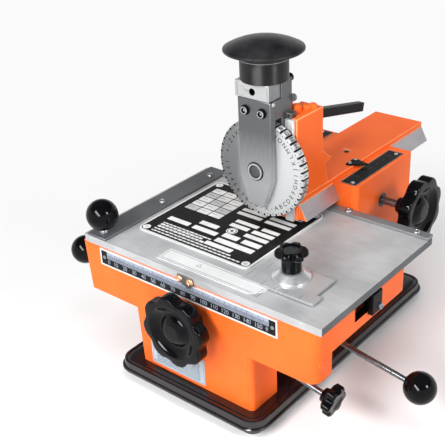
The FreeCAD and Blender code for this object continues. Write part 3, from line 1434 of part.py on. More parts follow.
def make_head():
    ram = new_body("ram")
    pad(ram, "XY", "ram_low", "ram_high",
        rectangle("-ram_half_width", "ram_front", "ram_half_width", "ram_rear"))
    pad(ram, "XY", "ram_low", "bracket_top + ram_flange",
        rectangle("-ram_half_width - ram_flange", "ram_shoulder",
                  "ram_half_width + ram_flange", "ram_rear"))
    pocket(ram, "XY", "ram_low", "ram_low + spring_bore_depth",
           ("0", "spring_y", "spring_radius + spring_bore_clearance"))
    pocket(ram, "XZ", "ram_front", "ram_front + axle_end_depth", ("0", "wheel_level", "axle_radius"))
    for x in CHEEK_SCREW_X:
        pocket(ram, "XZ", "ram_front", "ram_rear - ram_back_skin", (x, CHEEK_SCREW_Z, "cap_screw_shank"))
    hand_over(ram, "ram")

    spring = turned("return_spring", [
        ("spring_radius - spring_wire", "arm_top"), ("spring_radius", "arm_top"),
        ("spring_radius", "ram_low + spring_bore_depth"),
        ("spring_radius - spring_wire", "ram_low + spring_bore_depth")], "0", "spring_y", "0")
    hand_over(spring, "return_spring")

    cheek = new_body("cheek_plate")
    pad(cheek, "XZ", "cheek_front", "cheek_back", [
        ("-cheek_foot_half", "base_top + cheek_bottom"), ("cheek_foot_half", "base_top + cheek_bottom"),
        ("cheek_half_width", "base_top + cheek_shoulder"), ("cheek_half_width", "cheek_high"),
        ("-cheek_half_width", "cheek_high"), ("-cheek_half_width", "base_top + cheek_shoulder")])
    pocket(cheek, "XZ", "cheek_front", "cheek_back", ("0", "wheel_level", "axle_radius"),
           *[(x, CHEEK_SCREW_Z, "cap_screw_shank") for x in CHEEK_SCREW_X])
    hand_over(cheek, "cheek_plate")

    spacer = new_body("spacer_block")
    pad(spacer, "XZ", "cheek_back", "ram_front",
        rectangle("-cheek_half_width", "cheek_high - spacer_height", "cheek_half_width", "cheek_high"))
    pocket(spacer, "XZ", "cheek_back", "ram_front",
           *[(x, CHEEK_SCREW_Z, "cap_screw_shank") for x in CHEEK_SCREW_X])
    hand_over(spacer, "spacer_block")

    top = new_body("top_block")
    pad(top, "XZ", "cheek_front", "ram_front",
        rectangle("-cheek_half_width", "cheek_high", "cheek_half_width", "cheek_high + top_block_height"))
    pocket(top, "XZ", "cheek_front", "cheek_front + top_block_hole_depth",
           ("-top_block_hole_left", "cheek_high + top_block_hole_up", "top_block_hole"))
    hand_over(top, "top_block")

    head_top = "washer_height + cap_screw_height"
    screws = [
        turned(f"cap_screw_{place}", [
            ("0", "-cap_screw_length"), ("cap_screw_shank", "-cap_screw_length"),
            ("cap_screw_shank", "0"), ("washer_radius", "0"), ("washer_radius", "washer_height"),
            ("cap_screw_radius", "washer_height"), ("cap_screw_radius", head_top),
            ("cap_screw_socket", head_top), ("cap_screw_socket", "washer_height"),
            ("0", "washer_height")], x, "cheek_front", CHEEK_SCREW_Z, TO_FRONT)
        for place, x in enumerate(CHEEK_SCREW_X)
    ]
    hand_over(group("cheek_screws", screws), "cheek_screws")

    inner_end = "cheek_front - ram_front - axle_end_depth"
    axle = turned("wheel_axle", [
        ("0", inner_end), ("axle_radius", inner_end),
        ("axle_radius", "0"), ("axle_ring_radius", "0"), ("axle_ring_radius", "axle_ring_height"),
        ("0", "axle_ring_height")], "0", "cheek_front", "wheel_level", TO_FRONT)
    hand_over(axle, "wheel_axle")

    sleeve = turned("button_sleeve", [
        ("button_spigot_radius", "0"), ("sleeve_radius", "0"),
        ("sleeve_radius", "sleeve_height - sleeve_lip_height"),
        ("sleeve_radius + sleeve_lip", "sleeve_height - sleeve_lip_height"),
        ("sleeve_radius + sleeve_lip", "sleeve_height"), ("button_spigot_radius", "sleeve_height")],
        "0", "button_y", "ram_high")
    hand_over(sleeve, "button_sleeve")

    dome_height = "button_height - button_flare - button_rim"
    button = turned("palm_button", [
        ("0", "-button_spigot_depth"), ("button_spigot_radius", "-button_spigot_depth"),
        ("button_spigot_radius", "0"), ("sleeve_radius", "0"),
        ("button_radius", "button_flare"),
        ("button_radius", "button_flare + button_rim", dome_radius("button_radius", dome_height), 1),
        ("0", "button_height")], "0", "button_y", "sleeve_top")
    hand_over(button, "palm_button")

    knob = turned("rear_knob", [
        ("0", "0"), ("rear_knob_radius", "0"),
        ("rear_knob_radius", "rear_knob_length - rear_knob_edge"),
        ("rear_knob_radius - rear_knob_draft", "rear_knob_length"), ("0", "rear_knob_length")],
        "rear_knob_side", "ram_rear", "ram_high - rear_knob_drop", ALONG_Y)
    hand_over(knob, "rear_knob")


def make_type_wheel():
    wheel = new_body("type_wheel")
    turn_profile(wheel, [
        ("axle_radius + running_clearance", "0"), ("type_wheel_radius - type_bevel", "0"),
        ("type_wheel_radius", "type_bevel"), ("type_wheel_radius", "type_wheel_thickness - type_bevel"),
        ("type_wheel_radius - type_bevel", "type_wheel_thickness"),
        ("axle_radius + running_clearance", "type_wheel_thickness")])
    notch = pocket(wheel, "XY", "0", "type_wheel_thickness", [
        ("type_wheel_radius - type_groove_depth", "0"),
        ("type_wheel_radius + cut_overrun", "-type_groove_width / 2"),
        ("type_wheel_radius + cut_overrun", "type_groove_width / 2")])
    repeat_round(wheel, notch, "type_count")
    place_at(wheel, "0", "wheel_back", "wheel_level", TO_FRONT)
    hand_over(wheel, "type_wheel")


def ball_profile(radius, bore):
    """A ball about its own centre, with a blind bore on its lower side."""
    return [
        ("0", "-ball_bore_stop"), (bore, "-ball_bore_stop"),
        (bore, f"-sqrt({radius} ^ 2 - {bore} ^ 2)", radius, 1),
        (radius, "0", radius, 1), ("0", radius)]


def make_levers():
    direction = slope_direction("lever_slope", "x")
    rod = bar("lever_bar", "lever_rod_radius", "lever_reach - ball_bore_stop",
              "lever_x", "lever_y", "lever_z", direction)
    hub = bar("lever_hub", "lever_hub_radius", "lever_hub_width",
              "lever_x", "lever_y - lever_hub_width / 2", "lever_z", ALONG_Y)
    pin = bar("lever_pin", "lever_pin_radius", "lever_pin_length",
              "lever_x", "lever_y - lever_pin_length / 2", "lever_z", ALONG_Y)
    hand_over(joined("lever_rod_whole", [rod, hub, pin]), "lever_rod")
    ball = turned("lever_ball", ball_profile("lever_ball_radius", "lever_rod_radius"),
                  "lever_x + lever_reach * cos(lever_slope)", "lever_y",
                  "lever_z - lever_reach * sin(lever_slope)", direction)
    hand_over(ball, "lever_ball")

    rod = bar("pull_rod", "pull_rod_radius", "pull_rod_length",
              "pull_ball_left + ball_bore_stop", "pull_y", "pull_z", ALONG_X)
    hand_over(rod, "pull_rod")
    ball = turned("pull_ball", ball_profile("pull_ball_radius", "pull_rod_radius"),
                  "pull_ball_left", "pull_y", "pull_z", (-1, 0, 0))
    hand_over(ball, "pull_ball")

    direction = slope_direction("pitch_slope", "x")
    inner = "pitch_rod_inside"
    rod = bar("pitch_rod", "pitch_rod_radius", f"{inner} + pitch_reach",
              f"pedestal_right - {inner} * cos(pitch_slope)", "pitch_y",
              f"pitch_z + {inner} * sin(pitch_slope)", direction)
    hand_over(rod, "pitch_rod")
    knob = make_star("pitch_knob", "pitch_knob_radius", "pitch_knob_height", "pitch_knob_height / 2",
                     "pitch_knob_lobes", "pitch_knob_scallop", "pitch_knob_round", [
                         ("pitch_rod_radius", "-pitch_knob_height"),
                         ("pitch_knob_radius / 2", "-pitch_knob_height"),
                         ("pitch_knob_radius / 2", "-pitch_knob_height / 2"),
                         ("pitch_knob_radius", "-pitch_knob_height / 2"),
                         ("pitch_knob_radius", "pitch_knob_height / 2"), ("0", "pitch_knob_height / 2"),
                         ("0", "0"), ("pitch_rod_radius", "0")])
    place_at(knob, "pedestal_right + pitch_reach * cos(pitch_slope)", "pitch_y",
             "pitch_z - pitch_reach * sin(pitch_slope)", direction)
    hand_over(knob, "pitch_knob")


make_base()
make_body_casting()
make_housing_fittings()
make_table()
make_table_plates()
make_clamp()
make_table_drive()
make_handwheel("feed_handwheel", "front_face - feed_wheel_back - hub_gap", "wheel_hub_radius",
               "0", "feed_wheel_back", "feed_level", TO_FRONT)
make_column()
make_arm()
make_handwheel("arm_handwheel", "arm_wheel_hub", "arm_wheel_hub_radius",
               "arm_wheel_face - wheel_depth", "arm_shaft_back", "arm_gear_level", ALONG_X)
make_bracket()
make_head()
make_type_wheel()
make_levers()
doc.recompute()

for thing in doc.Objects:
    if "Invalid" in thing.State or "Error" in thing.State:
        raise RuntimeError(f"{thing.Label} failed: {thing.State}")
for piece in PARTS:
    if piece.Shape.isNull() or not piece.Shape.isValid():
        raise RuntimeError(f"{piece.Label} has no valid shape")

os.makedirs("parts", exist_ok=True)
for piece in PARTS:
    piece.Shape.exportStep(f"parts/{piece.Label}.step")
print(len(PARTS), "pieces")
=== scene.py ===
import math

import bmesh
import bpy
from mathutils import Matrix, Quaternion, Vector


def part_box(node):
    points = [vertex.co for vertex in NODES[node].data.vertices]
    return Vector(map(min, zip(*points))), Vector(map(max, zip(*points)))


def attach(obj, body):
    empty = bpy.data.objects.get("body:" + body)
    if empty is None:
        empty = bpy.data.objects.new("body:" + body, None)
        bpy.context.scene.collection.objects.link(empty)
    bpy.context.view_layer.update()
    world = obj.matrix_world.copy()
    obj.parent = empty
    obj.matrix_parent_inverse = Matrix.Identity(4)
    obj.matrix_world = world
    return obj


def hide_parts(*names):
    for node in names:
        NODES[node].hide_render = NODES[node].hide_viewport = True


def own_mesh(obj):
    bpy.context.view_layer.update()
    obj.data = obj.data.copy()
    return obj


# A bench machine that embosses letters into metal nameplates, dressed in its real finishes.
# Sizes are in millimetres in the row frame: X to the right, Y to the back, Z up.

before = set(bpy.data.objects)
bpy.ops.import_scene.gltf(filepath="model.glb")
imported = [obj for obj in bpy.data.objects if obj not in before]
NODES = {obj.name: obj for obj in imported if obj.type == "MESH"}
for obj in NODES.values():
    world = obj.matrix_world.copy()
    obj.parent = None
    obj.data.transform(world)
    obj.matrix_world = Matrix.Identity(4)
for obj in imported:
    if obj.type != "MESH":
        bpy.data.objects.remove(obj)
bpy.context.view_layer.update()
MM = 0.001
UP = Vector((0, 0, 1))
FRONT = Vector((0, -1, 0))
BACK = Vector((0, 1, 0))
LEFT = Vector((-1, 0, 0))
RIGHT = Vector((1, 0, 0))


def span(name):
    """The lowest and highest corner of a CAD node, in millimetres."""
    low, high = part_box(name)
    return low / MM, high / MM


def centre(name):
    """The middle of a CAD node, in millimetres."""
    low, high = span(name)
    return (low + high) / 2


# Colours and material nodes


def linear(code):
    """An sRGB hex colour as linear red, green, blue and alpha."""
    parts = [int(code[place:place + 2], 16) / 255 for place in (1, 3, 5)]
    return (*[part / 12.92 if part <= 0.04045 else ((part + 0.055) / 1.055) ** 2.4
              for part in parts], 1.0)


def node(tree, kind, values=None, **settings):
    """Adds a node. settings are its own properties; values give inputs a value or an output."""
    made = tree.nodes.new("ShaderNode" + kind)
    for key, value in settings.items():
        setattr(made, key, value)
    for key, value in (values or {}).items():
        if isinstance(value, bpy.types.NodeSocket):
            tree.links.new(value, made.inputs[key])
        else:
            made.inputs[key].default_value = value
    return made


def emptied(owner):
    """The node tree of a new material or world, without its first nodes."""
    owner.use_nodes = True
    owner.node_tree.nodes.clear()
    return owner.node_tree


def material(name, **inputs):
    """A new material with one surface shader. Its inputs are named with _ for a space."""
    made = bpy.data.materials.new(name)
    tree = emptied(made)
    values = {key.replace("_", " "): value for key, value in inputs.items()}
    shader = node(tree, "BsdfPrincipled", values)
    node(tree, "OutputMaterial", {"Surface": shader.outputs["BSDF"]})
    return made, tree, shader


def pattern(tree, size_mm, detail=2.0, stretch=(1, 1, 1)):
    """Noise whose features are size_mm wide, drawn out along an axis by its stretch."""
    place = node(tree, "TexCoord")
    scale = [1 / (size_mm * MM * amount) for amount in stretch]
    mapped = node(tree, "Mapping", {"Vector": place.outputs["Object"], "Scale": scale})
    noise = node(tree, "TexNoise", {
        "Vector": mapped.outputs["Vector"], "Scale": 1.0, "Detail": detail})
    return noise.outputs["Fac"]


def drive(tree, shader, socket, factor, low, high, start=0.3, end=0.7):
    """Lets a pattern carry a shader's input from low to high: two colours, or two numbers."""
    colours = isinstance(low, str)
    share = node(tree, "MapRange", {
        "Value": factor, "From Min": start, "From Max": end,
        "To Min": 0.0 if colours else low, "To Max": 1.0 if colours else high})
    result = share.outputs["Result"]
    if colours:
        # inputs 6 and 7 and output 2 are the colour ones of this node
        mixed = node(tree, "Mix", {0: result, 6: linear(low), 7: linear(high)}, data_type="RGBA")
        result = mixed.outputs[2]
    tree.links.new(result, shader.inputs[socket])


def relief(tree, shader, height, depth_mm, strength=0.5):
    """Presses a pattern into the surface."""
    bump = node(tree, "Bump", {"Height": height, "Distance": depth_mm * MM, "Strength": strength})
    tree.links.new(bump.outputs["Normal"], shader.inputs["Normal"])


def stove_enamel(name, low, high):
    """Stoved enamel on a casting: an even colour, half gloss, with the orange peel of spraying."""
    made, tree, shader = material(name, Roughness=0.4, IOR=1.45, Specular_IOR_Level=0.17)
    drive(tree, shader, "Base Color", pattern(tree, 38), low, high)
    relief(tree, shader, pattern(tree, 2.4), 0.05, 0.25)
    return made


def gloss_black(name, colour="#040406", roughness=0.03, grain_mm=3.0, sheen=0.15):
    """Moulded phenolic, black enamel or black oxide: deep black with faint flow marks.

    The roughness takes it from a mirror gloss to a satin one.
    """
    made, tree, shader = material(name, IOR=1.52, Specular_IOR_Level=sheen)
    drive(tree, shader, "Base Color", pattern(tree, 14), colour, "#0B0B0E")
    drive(tree, shader, "Roughness", pattern(tree, 6), roughness, roughness + 0.05)
    relief(tree, shader, pattern(tree, grain_mm), 0.02, 0.08)
    return made


def turned_black(name):
    """Black phenolic off the lathe: fine rings round it draw each lamp into an upright streak."""
    made, tree, shader = material(name, Roughness=0.5, Anisotropic=1.0, IOR=1.52,
                                  Anisotropic_Rotation=0.25, Specular_IOR_Level=0.65)
    rings = node(tree, "Tangent", direction_type="RADIAL", axis="Z")
    tree.links.new(rings.outputs["Tangent"], shader.inputs["Tangent"])
    drive(tree, shader, "Base Color", pattern(tree, 8), "#09090A", "#111113")
    return made


def brushed_metal(name, low, high, roughness, line_mm, along, metallic=0.85, depth=0.02,
                  cloud_mm=30, painted_shade_fall=None):
    """Brushed or ground metal: fine parallel lines along one axis over a slow change of tone.

    painted_shade_fall = (axis, from, to) in millimetres paints light and shade into the tone: it
    goes along an axis from low to high, as the light does over a plate.
    """
    made, tree, shader = material(name, Metallic=metallic)
    stretch = [18.0 if axis == along else 1.0 for axis in "xyz"]
    lines = pattern(tree, line_mm, 3.0, stretch)
    # painted light and shade: here the tone runs along an axis instead of a random cloud
    if painted_shade_fall:
        axis, first, last = painted_shade_fall
        place = node(tree, "SeparateXYZ", {"Vector": node(tree, "TexCoord").outputs["Object"]})
        slow = node(tree, "MapRange", {
            "Value": place.outputs[axis], "From Min": first * MM, "From Max": last * MM,
            "To Min": 0.2, "To Max": 0.8}).outputs["Result"]
    else:
        slow = pattern(tree, cloud_mm)
    mixed = node(tree, "Mix", {"Factor": 0.85 if painted_shade_fall else 0.6, "A": lines, "B": slow},
                 data_type="FLOAT")
    drive(tree, shader, "Base Color", mixed.outputs["Result"], low, high, 0.35, 0.65)
    drive(tree, shader, "Roughness", lines, roughness - 0.06, roughness + 0.08)
    relief(tree, shader, lines, depth, 0.35)
    return made


def turned_metal(name, low, high, roughness):
    """Turned or drawn metal: bright, with a slight mottle."""
    made, tree, shader = material(name, Metallic=0.85)
    mottle = pattern(tree, 4)
    drive(tree, shader, "Base Color", mottle, low, high)
    drive(tree, shader, "Roughness", mottle, roughness, roughness + 0.08)
    return made


def cast_iron(name):
    """Machined grey iron: dark grey with a fine open grain of about a millimetre."""
    made, tree, shader = material(name, Metallic=0.85)
    grain = pattern(tree, 1.2, 4.0)
    drive(tree, shader, "Base Color", grain, "#3B3D40", "#5A5C60")
    drive(tree, shader, "Roughness", grain, 0.42, 0.6)
    relief(tree, shader, grain, 0.05, 0.3)
    return made


def moulded_rubber(name):
    """Moulded rubber: matt black with a dusty bloom."""
    made, tree, shader = material(name, Roughness=0.72)
    drive(tree, shader, "Base Color", pattern(tree, 5, 3.0), "#151516", "#242426")
    relief(tree, shader, pattern(tree, 0.8), 0.04, 0.3)
    return made


def printed_film(name, low, high, roughness=0.38):
    """Screen print on sheet metal: an even film of ink with a soft sheen, a little uneven."""
    made, tree, shader = material(name, Specular_IOR_Level=0.12)
    drive(tree, shader, "Base Color", pattern(tree, 9, 3.0), low, high)
    drive(tree, shader, "Roughness", pattern(tree, 3), roughness, roughness + 0.1)
    return made


ORANGE = stove_enamel("orange_stove_enamel", "#EE6224", "#F36C2A")
# painted highlight: a paler orange on the bevelled edges of the castings stands in for the light
# that catches them
ORANGE_EDGE_HIGHLIGHT = stove_enamel("orange_enamel_painted_edge_highlight", "#FA8A52", "#FD9864")
BLACK_ENAMEL = gloss_black("black_base_enamel", "#131216", 0.16, 6.0, 0.7)
PHENOLIC = gloss_black("black_phenolic")
SLEEVE_PHENOLIC = turned_black("black_turned_phenolic")
SATIN_PHENOLIC = gloss_black("black_satin_phenolic", "#272728", 0.34, 3.0, 0.3)
BLACK_OXIDE = gloss_black("black_oxide_steel", "#0B0B0D", 0.36, 1.5, 0.1)
TABLE_METAL = brushed_metal("brushed_table_aluminium", "#9FA0A1", "#BDBEBF", 0.46, 0.7, "x", 0.3)
# painted shade: a darker metal for the table plate's right side
TABLE_SIDE_PAINTED_SHADE = brushed_metal("table_right_side_painted_shade", "#4E5153", "#64676A", 0.5, 0.6, "y", 0.5)
STRIP_METAL = brushed_metal("brushed_strip_steel", "#5E6063", "#747679", 0.46, 0.9, "y", 0.6)
RIM_METAL = brushed_metal("brushed_rear_strip", "#7E8082", "#94969A", 0.44, 0.9, "x", 0.6)
PALE_METAL = brushed_metal("milled_pale_aluminium", "#D6D7D7", "#E4E5E5", 0.46, 1.2, "x", 0.3)
CLAMP_METAL = brushed_metal("ground_clamp_plate", "#A6A7A8", "#AFB0B1", 0.3, 3.0, "y", 0.35, 0.001)
BLOCK_METAL = brushed_metal("milled_block_aluminium", "#ACADAD", "#BABBBB", 0.46, 0.8, "x", 0.5)
# painted shade: a darker copy of the block metal for the top block's sides
BLOCK_SIDE_PAINTED_SHADE = brushed_metal("block_side_aluminium_painted_shade", "#7A7B7C", "#909192", 0.4, 0.7, "z", 0.6)
# painted shade: the cheek steel is drawn lighter towards its bottom and darker towards its top
CHEEK_METAL_PAINTED_SHADE = brushed_metal("ground_cheek_steel_painted_shade", "#BFC1C2", "#6E7072", 0.36, 0.5, "z",
                            painted_shade_fall=("Z", 140, 215))
RAM_METAL = brushed_metal("ground_ram_steel", "#565859", "#6E7072", 0.36, 0.5, "z", cloud_mm=45)
FLANK_METAL = brushed_metal("ground_dovetail_steel", "#A5A1A6", "#BEBABE", 0.38, 0.9, "y",
                            cloud_mm=45)
GIB_METAL = brushed_metal("ground_gib_steel", "#C6C6C8", "#DCDCDE", 0.46, 0.9, "z", 0.6)
# painted shade: the type wheel's steel is drawn dark on its left and light on its right
WHEEL_METAL_PAINTED_SHADE = brushed_metal("satin_wheel_steel_painted_shade", "#88898A", "#DADBDC", 0.36, 1.0, "z", 0.7,
                            painted_shade_fall=("X", -34, 12))
DARK_SHEET = brushed_metal("darkened_sheet", "#47494C", "#5C5E61", 0.38, 0.9, "x")
POLISHED = turned_metal("polished_steel_bar", "#606165", "#77787C", 0.22)
BRIGHT = turned_metal("bright_turned_steel", "#C4C5C7", "#D4D5D6", 0.3)
CHROMED = turned_metal("chromed_cone", "#DCDDDE", "#E8E9E9", 0.27)
ZINC = turned_metal("zinc_plated_screw", "#8F9296", "#A9ACB0", 0.32)
COPPERED = turned_metal("coppered_screw", "#E3A479", "#F0BE97", 0.26)
BRONZE = turned_metal("bush_bronze", "#A67C45", "#C1965A", 0.32)
GEAR_STEEL = turned_metal("hobbed_gear_steel", "#8C8E92", "#A2A4A8", 0.34)
SPRING_STEEL = turned_metal("spring_wire", "#6E7074", "#86888C", 0.3)
IRON = cast_iron("machined_grey_iron")
RUBBER = moulded_rubber("moulded_rubber")
BLACK_INK = printed_film("black_ink", "#101011", "#191919")
PALE_INK = printed_film("pale_ink", "#C6C6C5", "#D9D9D7")
GREY_INK = printed_film("grey_blue_ink", "#8A92A2", "#9BA2B1")
CELL_INK = printed_film("grey_cell_ink", "#A8A9AA", "#B6B7B8")
TEXT_INK = printed_film("faded_text_ink", "#4C5866", "#5A6674")
PLATE_INK = printed_film("plate_film", "#A3AEB8", "#B0BAC2")

# A film of print, and the fine lines and signs on top of it
FILM = 0.03
LINE = 0.02


# Shapes


def softened(corners, closed=False, steps=5):
    """A line whose corners (x, y, radius) are rounded with small arcs; (x, y) stays sharp."""
    made = []
    count = len(corners)
    for place, corner in enumerate(corners):
        here = Vector(corner[:2])
        radius = corner[2] if len(corner) > 2 else 0
        if not radius or (not closed and place in (0, count - 1)):
            made.append(here)
            continue
        before = (Vector(corners[place - 1][:2]) - here).normalized()
        after = (Vector(corners[(place + 1) % count][:2]) - here).normalized()
        half = before.angle(after) / 2
        reach = radius / math.tan(half)
        hub = here + (before + after).normalized() * (radius / math.sin(half))
        start = here + before * reach - hub
        turn = (here + after * reach - hub).angle_signed(start)
        made += [hub + Matrix.Rotation(turn * step / steps, 2) @ start
                 for step in range(steps + 1)]
    return [tuple(point) for point in made]


def ringed(corners):
    """A profile that ends where it began, for a turned piece with a bore."""
    made = softened(corners, closed=True)
    return made + made[:1]


def arc(across, up, radius, first, last, steps=12):
    """Points on an arc, with angles in degrees from the across direction."""
    angles = [math.radians(first + (last - first) * step / steps) for step in range(steps + 1)]
    return [(across + radius * math.cos(angle), up + radius * math.sin(angle))
            for angle in angles]


def upright(x, y, z):
    """The matrix that stands a drawing up at a place, to be read from the front."""
    return Matrix.Translation((x, y, z)) @ Matrix.Rotation(math.radians(90), 4, "X")


def wrap_up(name, shape, body, materials, smooth=35.0):
    """Makes the object from a bmesh in millimetres and gives it its body and materials.

    A shape that has the name of a CAD node takes that node's place.
    """
    bmesh.ops.scale(shape, vec=(MM, MM, MM), verts=shape.verts)
    bmesh.ops.recalc_face_normals(shape, faces=shape.faces)
    title = name + "_dressed" if name in NODES else name
    mesh = bpy.data.meshes.new(title)
    shape.to_mesh(mesh)
    shape.free()
    for entry in materials if isinstance(materials, list) else [materials]:
        mesh.materials.append(entry)
    mesh.polygons.foreach_set("use_smooth", [True] * len(mesh.polygons))
    mesh.set_sharp_from_angle(angle=math.radians(smooth))
    piece = bpy.data.objects.new(title, mesh)
    bpy.context.scene.collection.objects.link(piece)
    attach(piece, body)
    if name in NODES:
        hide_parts(name)
    return piece


def skin(shape, rings, paint=0, caps=False):
    """Joins rings of points with faces. A ring of one point closes to a tip."""
    for lower, upper in zip(rings, rings[1:]):
        count = max(len(lower), len(upper))
        for turn in range(count):
            after = (turn + 1) % count
            corners = [lower[turn % len(lower)], lower[after % len(lower)],
                       upper[after % len(upper)], upper[turn % len(upper)]]
            kept = list(dict.fromkeys(corners))
            if len(kept) > 2:
                shape.faces.new(kept).material_index = paint
    if caps:
        for ring in (rings[0][::-1], rings[-1]):
            shape.faces.new(ring).material_index = paint


def revolve(shape, profile, at, axis=UP, turns=64, wave=None, paint=0):
    """Turns a profile of (radius, height) about an axis, with its corners softened.

    wave(radius, angle) may change a radius.
    """
    place = Matrix.Translation(at) @ UP.rotation_difference(axis).to_matrix().to_4x4()
    rings = []
    for radius, height in softened(profile):
        ring = []
        for turn in range(turns if radius > 1e-6 else 1):
            angle = 2 * math.pi * turn / turns
            reach = wave(radius, angle) if wave else radius
            spot = Vector((reach * math.cos(angle), reach * math.sin(angle), height))
            ring.append(shape.verts.new(place @ spot))
        rings.append(ring)
    skin(shape, rings, paint)


def disc(shape, radius, rise, at, axis, turns, paint=0):
    """A thin round patch of print."""
    revolve(shape, [(0, rise), (radius, rise), (radius, 0.0)], at, axis, turns, paint=paint)


def turned_piece(name, profile, at, axis, body, finish, turns=64, wave=None, smooth=35.0):
    """One turned piece. Both ends of its profile lie on the axis or meet."""
    shape = bmesh.new()
    revolve(shape, profile, at, axis, turns, wave)
    bmesh.ops.remove_doubles(shape, verts=shape.verts, dist=1e-5)
    return wrap_up(name, shape, body, finish, smooth)


def extrude(shape, outline, low, high, place=None, paint=0):
    """A prism over an outline of (x, y) points, from low to high."""
    place = place or Matrix.Identity(4)
    skin(shape, [[shape.verts.new(place @ Vector((x, y, level))) for x, y in outline]
                 for level in (low, high)], paint, caps=True)


def box_outline(sides, radius=0.0, steps=4):
    """The outline of a rectangle whose sides are (left, low, right, high)."""
    left, low, right, high = sides
    corners = [(left, low, radius), (right, low, radius), (right, high, radius),
               (left, high, radius)]
    return softened(corners, closed=True, steps=steps)


def slab(shape, sides, low, high, place=None, paint=0, radius=0.0):
    """A rectangular patch or plate, from low to high."""
    extrude(shape, box_outline(sides, radius), low, high, place, paint)


def frame_lines(shape, sides, width, low, high, place=None, paint=0):
    """A rectangle drawn as four thin strips."""
    left, front, right, rear = sides
    for strip in ((left, front, right, front + width), (left, rear - width, right, rear),
                  (left, front + width, left + width, rear - width),
                  (right - width, front + width, right, rear - width)):
        slab(shape, strip, low, high, place, paint)


def by_tens(step, ten, five, one):
    """The length of a scale's mark: long at the tens, shorter at the fives."""
    return ten if step % 10 == 0 else five if step % 5 == 0 else one


def dressed(name, body, materials, bevel, segments=2, least=0.0, paint=None, edge=-1):
    """A CAD node's shape with its sharp edges rounded.

    Edges shorter than least stay sharp. paint(centre, normal) picks a face's material, and edge
    the bevels'. Large faces are shaded flat, so that no bevel draws a haze over them.
    """
    flat_angle, sharp_angle, smooth_angle = math.radians(0.6), math.radians(25.0), 38.0
    weld, large_area = 0.002, 120.0
    shape = bmesh.new()
    shape.from_mesh(NODES[name].data)
    bmesh.ops.scale(shape, vec=(1 / MM, 1 / MM, 1 / MM), verts=shape.verts)
    bmesh.ops.remove_doubles(shape, verts=shape.verts, dist=weld)
    bmesh.ops.dissolve_limit(shape, angle_limit=flat_angle, verts=shape.verts,
                             edges=shape.edges, use_dissolve_boundaries=False)
    for face in shape.faces:
        face.material_index = 0
    sharp = [line for line in shape.edges
             if line.is_manifold and line.calc_face_angle(0.0) > sharp_angle
             and line.calc_length() > least]
    bmesh.ops.bevel(shape, geom=sharp, offset=bevel, offset_type="OFFSET", segments=segments,
                    profile=0.5, affect="EDGES", clamp_overlap=True, material=edge)
    if paint:
        shape.normal_update()
        for face in shape.faces:
            face.material_index = (paint(face.calc_center_median(), face.normal)
                                   or face.material_index)
    shape.faces.index_update()
    flat = [face.index for face in shape.faces if face.calc_area() > large_area]
    piece = wrap_up(name, shape, body, materials, smooth_angle)
    for index in flat:
        piece.data.polygons[index].use_smooth = False
    return piece


LETTERS = {}


def letter(sign):
    """The points and faces of a character 1 mm high, centred on the origin."""
    if sign not in LETTERS:
        curve = bpy.data.curves.new("letter", "FONT")
        curve.body = sign
        curve.align_x = curve.align_y = "CENTER"
        curve.size = 1.4
        curve.resolution_u = 3
        holder = bpy.data.objects.new("letter", curve)
        mesh = bpy.data.meshes.new_from_object(holder)
        LETTERS[sign] = ([vertex.co.copy() for vertex in mesh.vertices],
                         [tuple(polygon.vertices) for polygon in mesh.polygons])
        bpy.data.objects.remove(holder)
        bpy.data.curves.remove(curve)
        bpy.data.meshes.remove(mesh)
    return LETTERS[sign]


def stamp(shape, sign, place, height, raised, paint=0):
    """Adds a character as a thin raised sign."""
    points, faces = letter(sign)
    for level in (0.0, raised):
        made = [shape.verts.new(place @ Vector((p.x * height, p.y * height, level)))
                for p in points]
        for face in faces:
            order = face if level else face[::-1]
            shape.faces.new([made[index] for index in order]).material_index = paint


def pan_head(shape, at, axis, radius=3.0, height=1.8, paint=0):
    """A pan head screw, whose cross recess is four small wedges cut from the head."""
    profile = [(0, height * 0.55), (radius * 0.16, height * 0.6), (radius * 0.34, height),
               (radius * 0.6, height * 0.97), (radius * 0.85, height * 0.75),
               (radius, height * 0.3), (radius, 0.0)]

    def crossed(reach, angle):
        if reach < radius * 0.36:
            return reach * (1.0 + 0.55 * abs(math.cos(2 * angle)) ** 3)
        return reach

    revolve(shape, profile, at, axis, 32, crossed, paint)


def lobed(lobes, depth, inner, outer, sharpness=1.5, phase=0.0):
    """How scallops between lobes draw a radius in, more towards the rim."""
    def wave(reach, angle):
        share = min(max((reach - inner) / (outer - inner), 0.0), 1.0)
        dip = (0.5 + 0.5 * math.cos(lobes * (angle + phase))) ** sharpness
        return reach - depth * share * dip
    return wave


# Frame: base, castings and what is fixed to them


def finish_plain_nodes():
    """What lies inside or under the machine keeps its CAD shape and gets a finish."""
    for finish, names in (
            (POLISHED, ("guide_rods", "feed_shaft", "arm_shaft", "lever_rod", "pull_rod",
                        "pitch_rod")),
            (BRONZE, ("feed_bushes", "dovetail_gib", "rod_bushes")),
            (GEAR_STEEL, ("table_rack", "feed_pinion", "arm_pinion", "arm_rack")),
            (IRON, ("column_bushes", "cross_slide")), (BLOCK_METAL, ("bearing_blocks",)),
            (ZINC, ("base_screws",))):
        for name in names:
            mesh = NODES[name].data
            mesh.materials.clear()
            mesh.materials.append(finish)


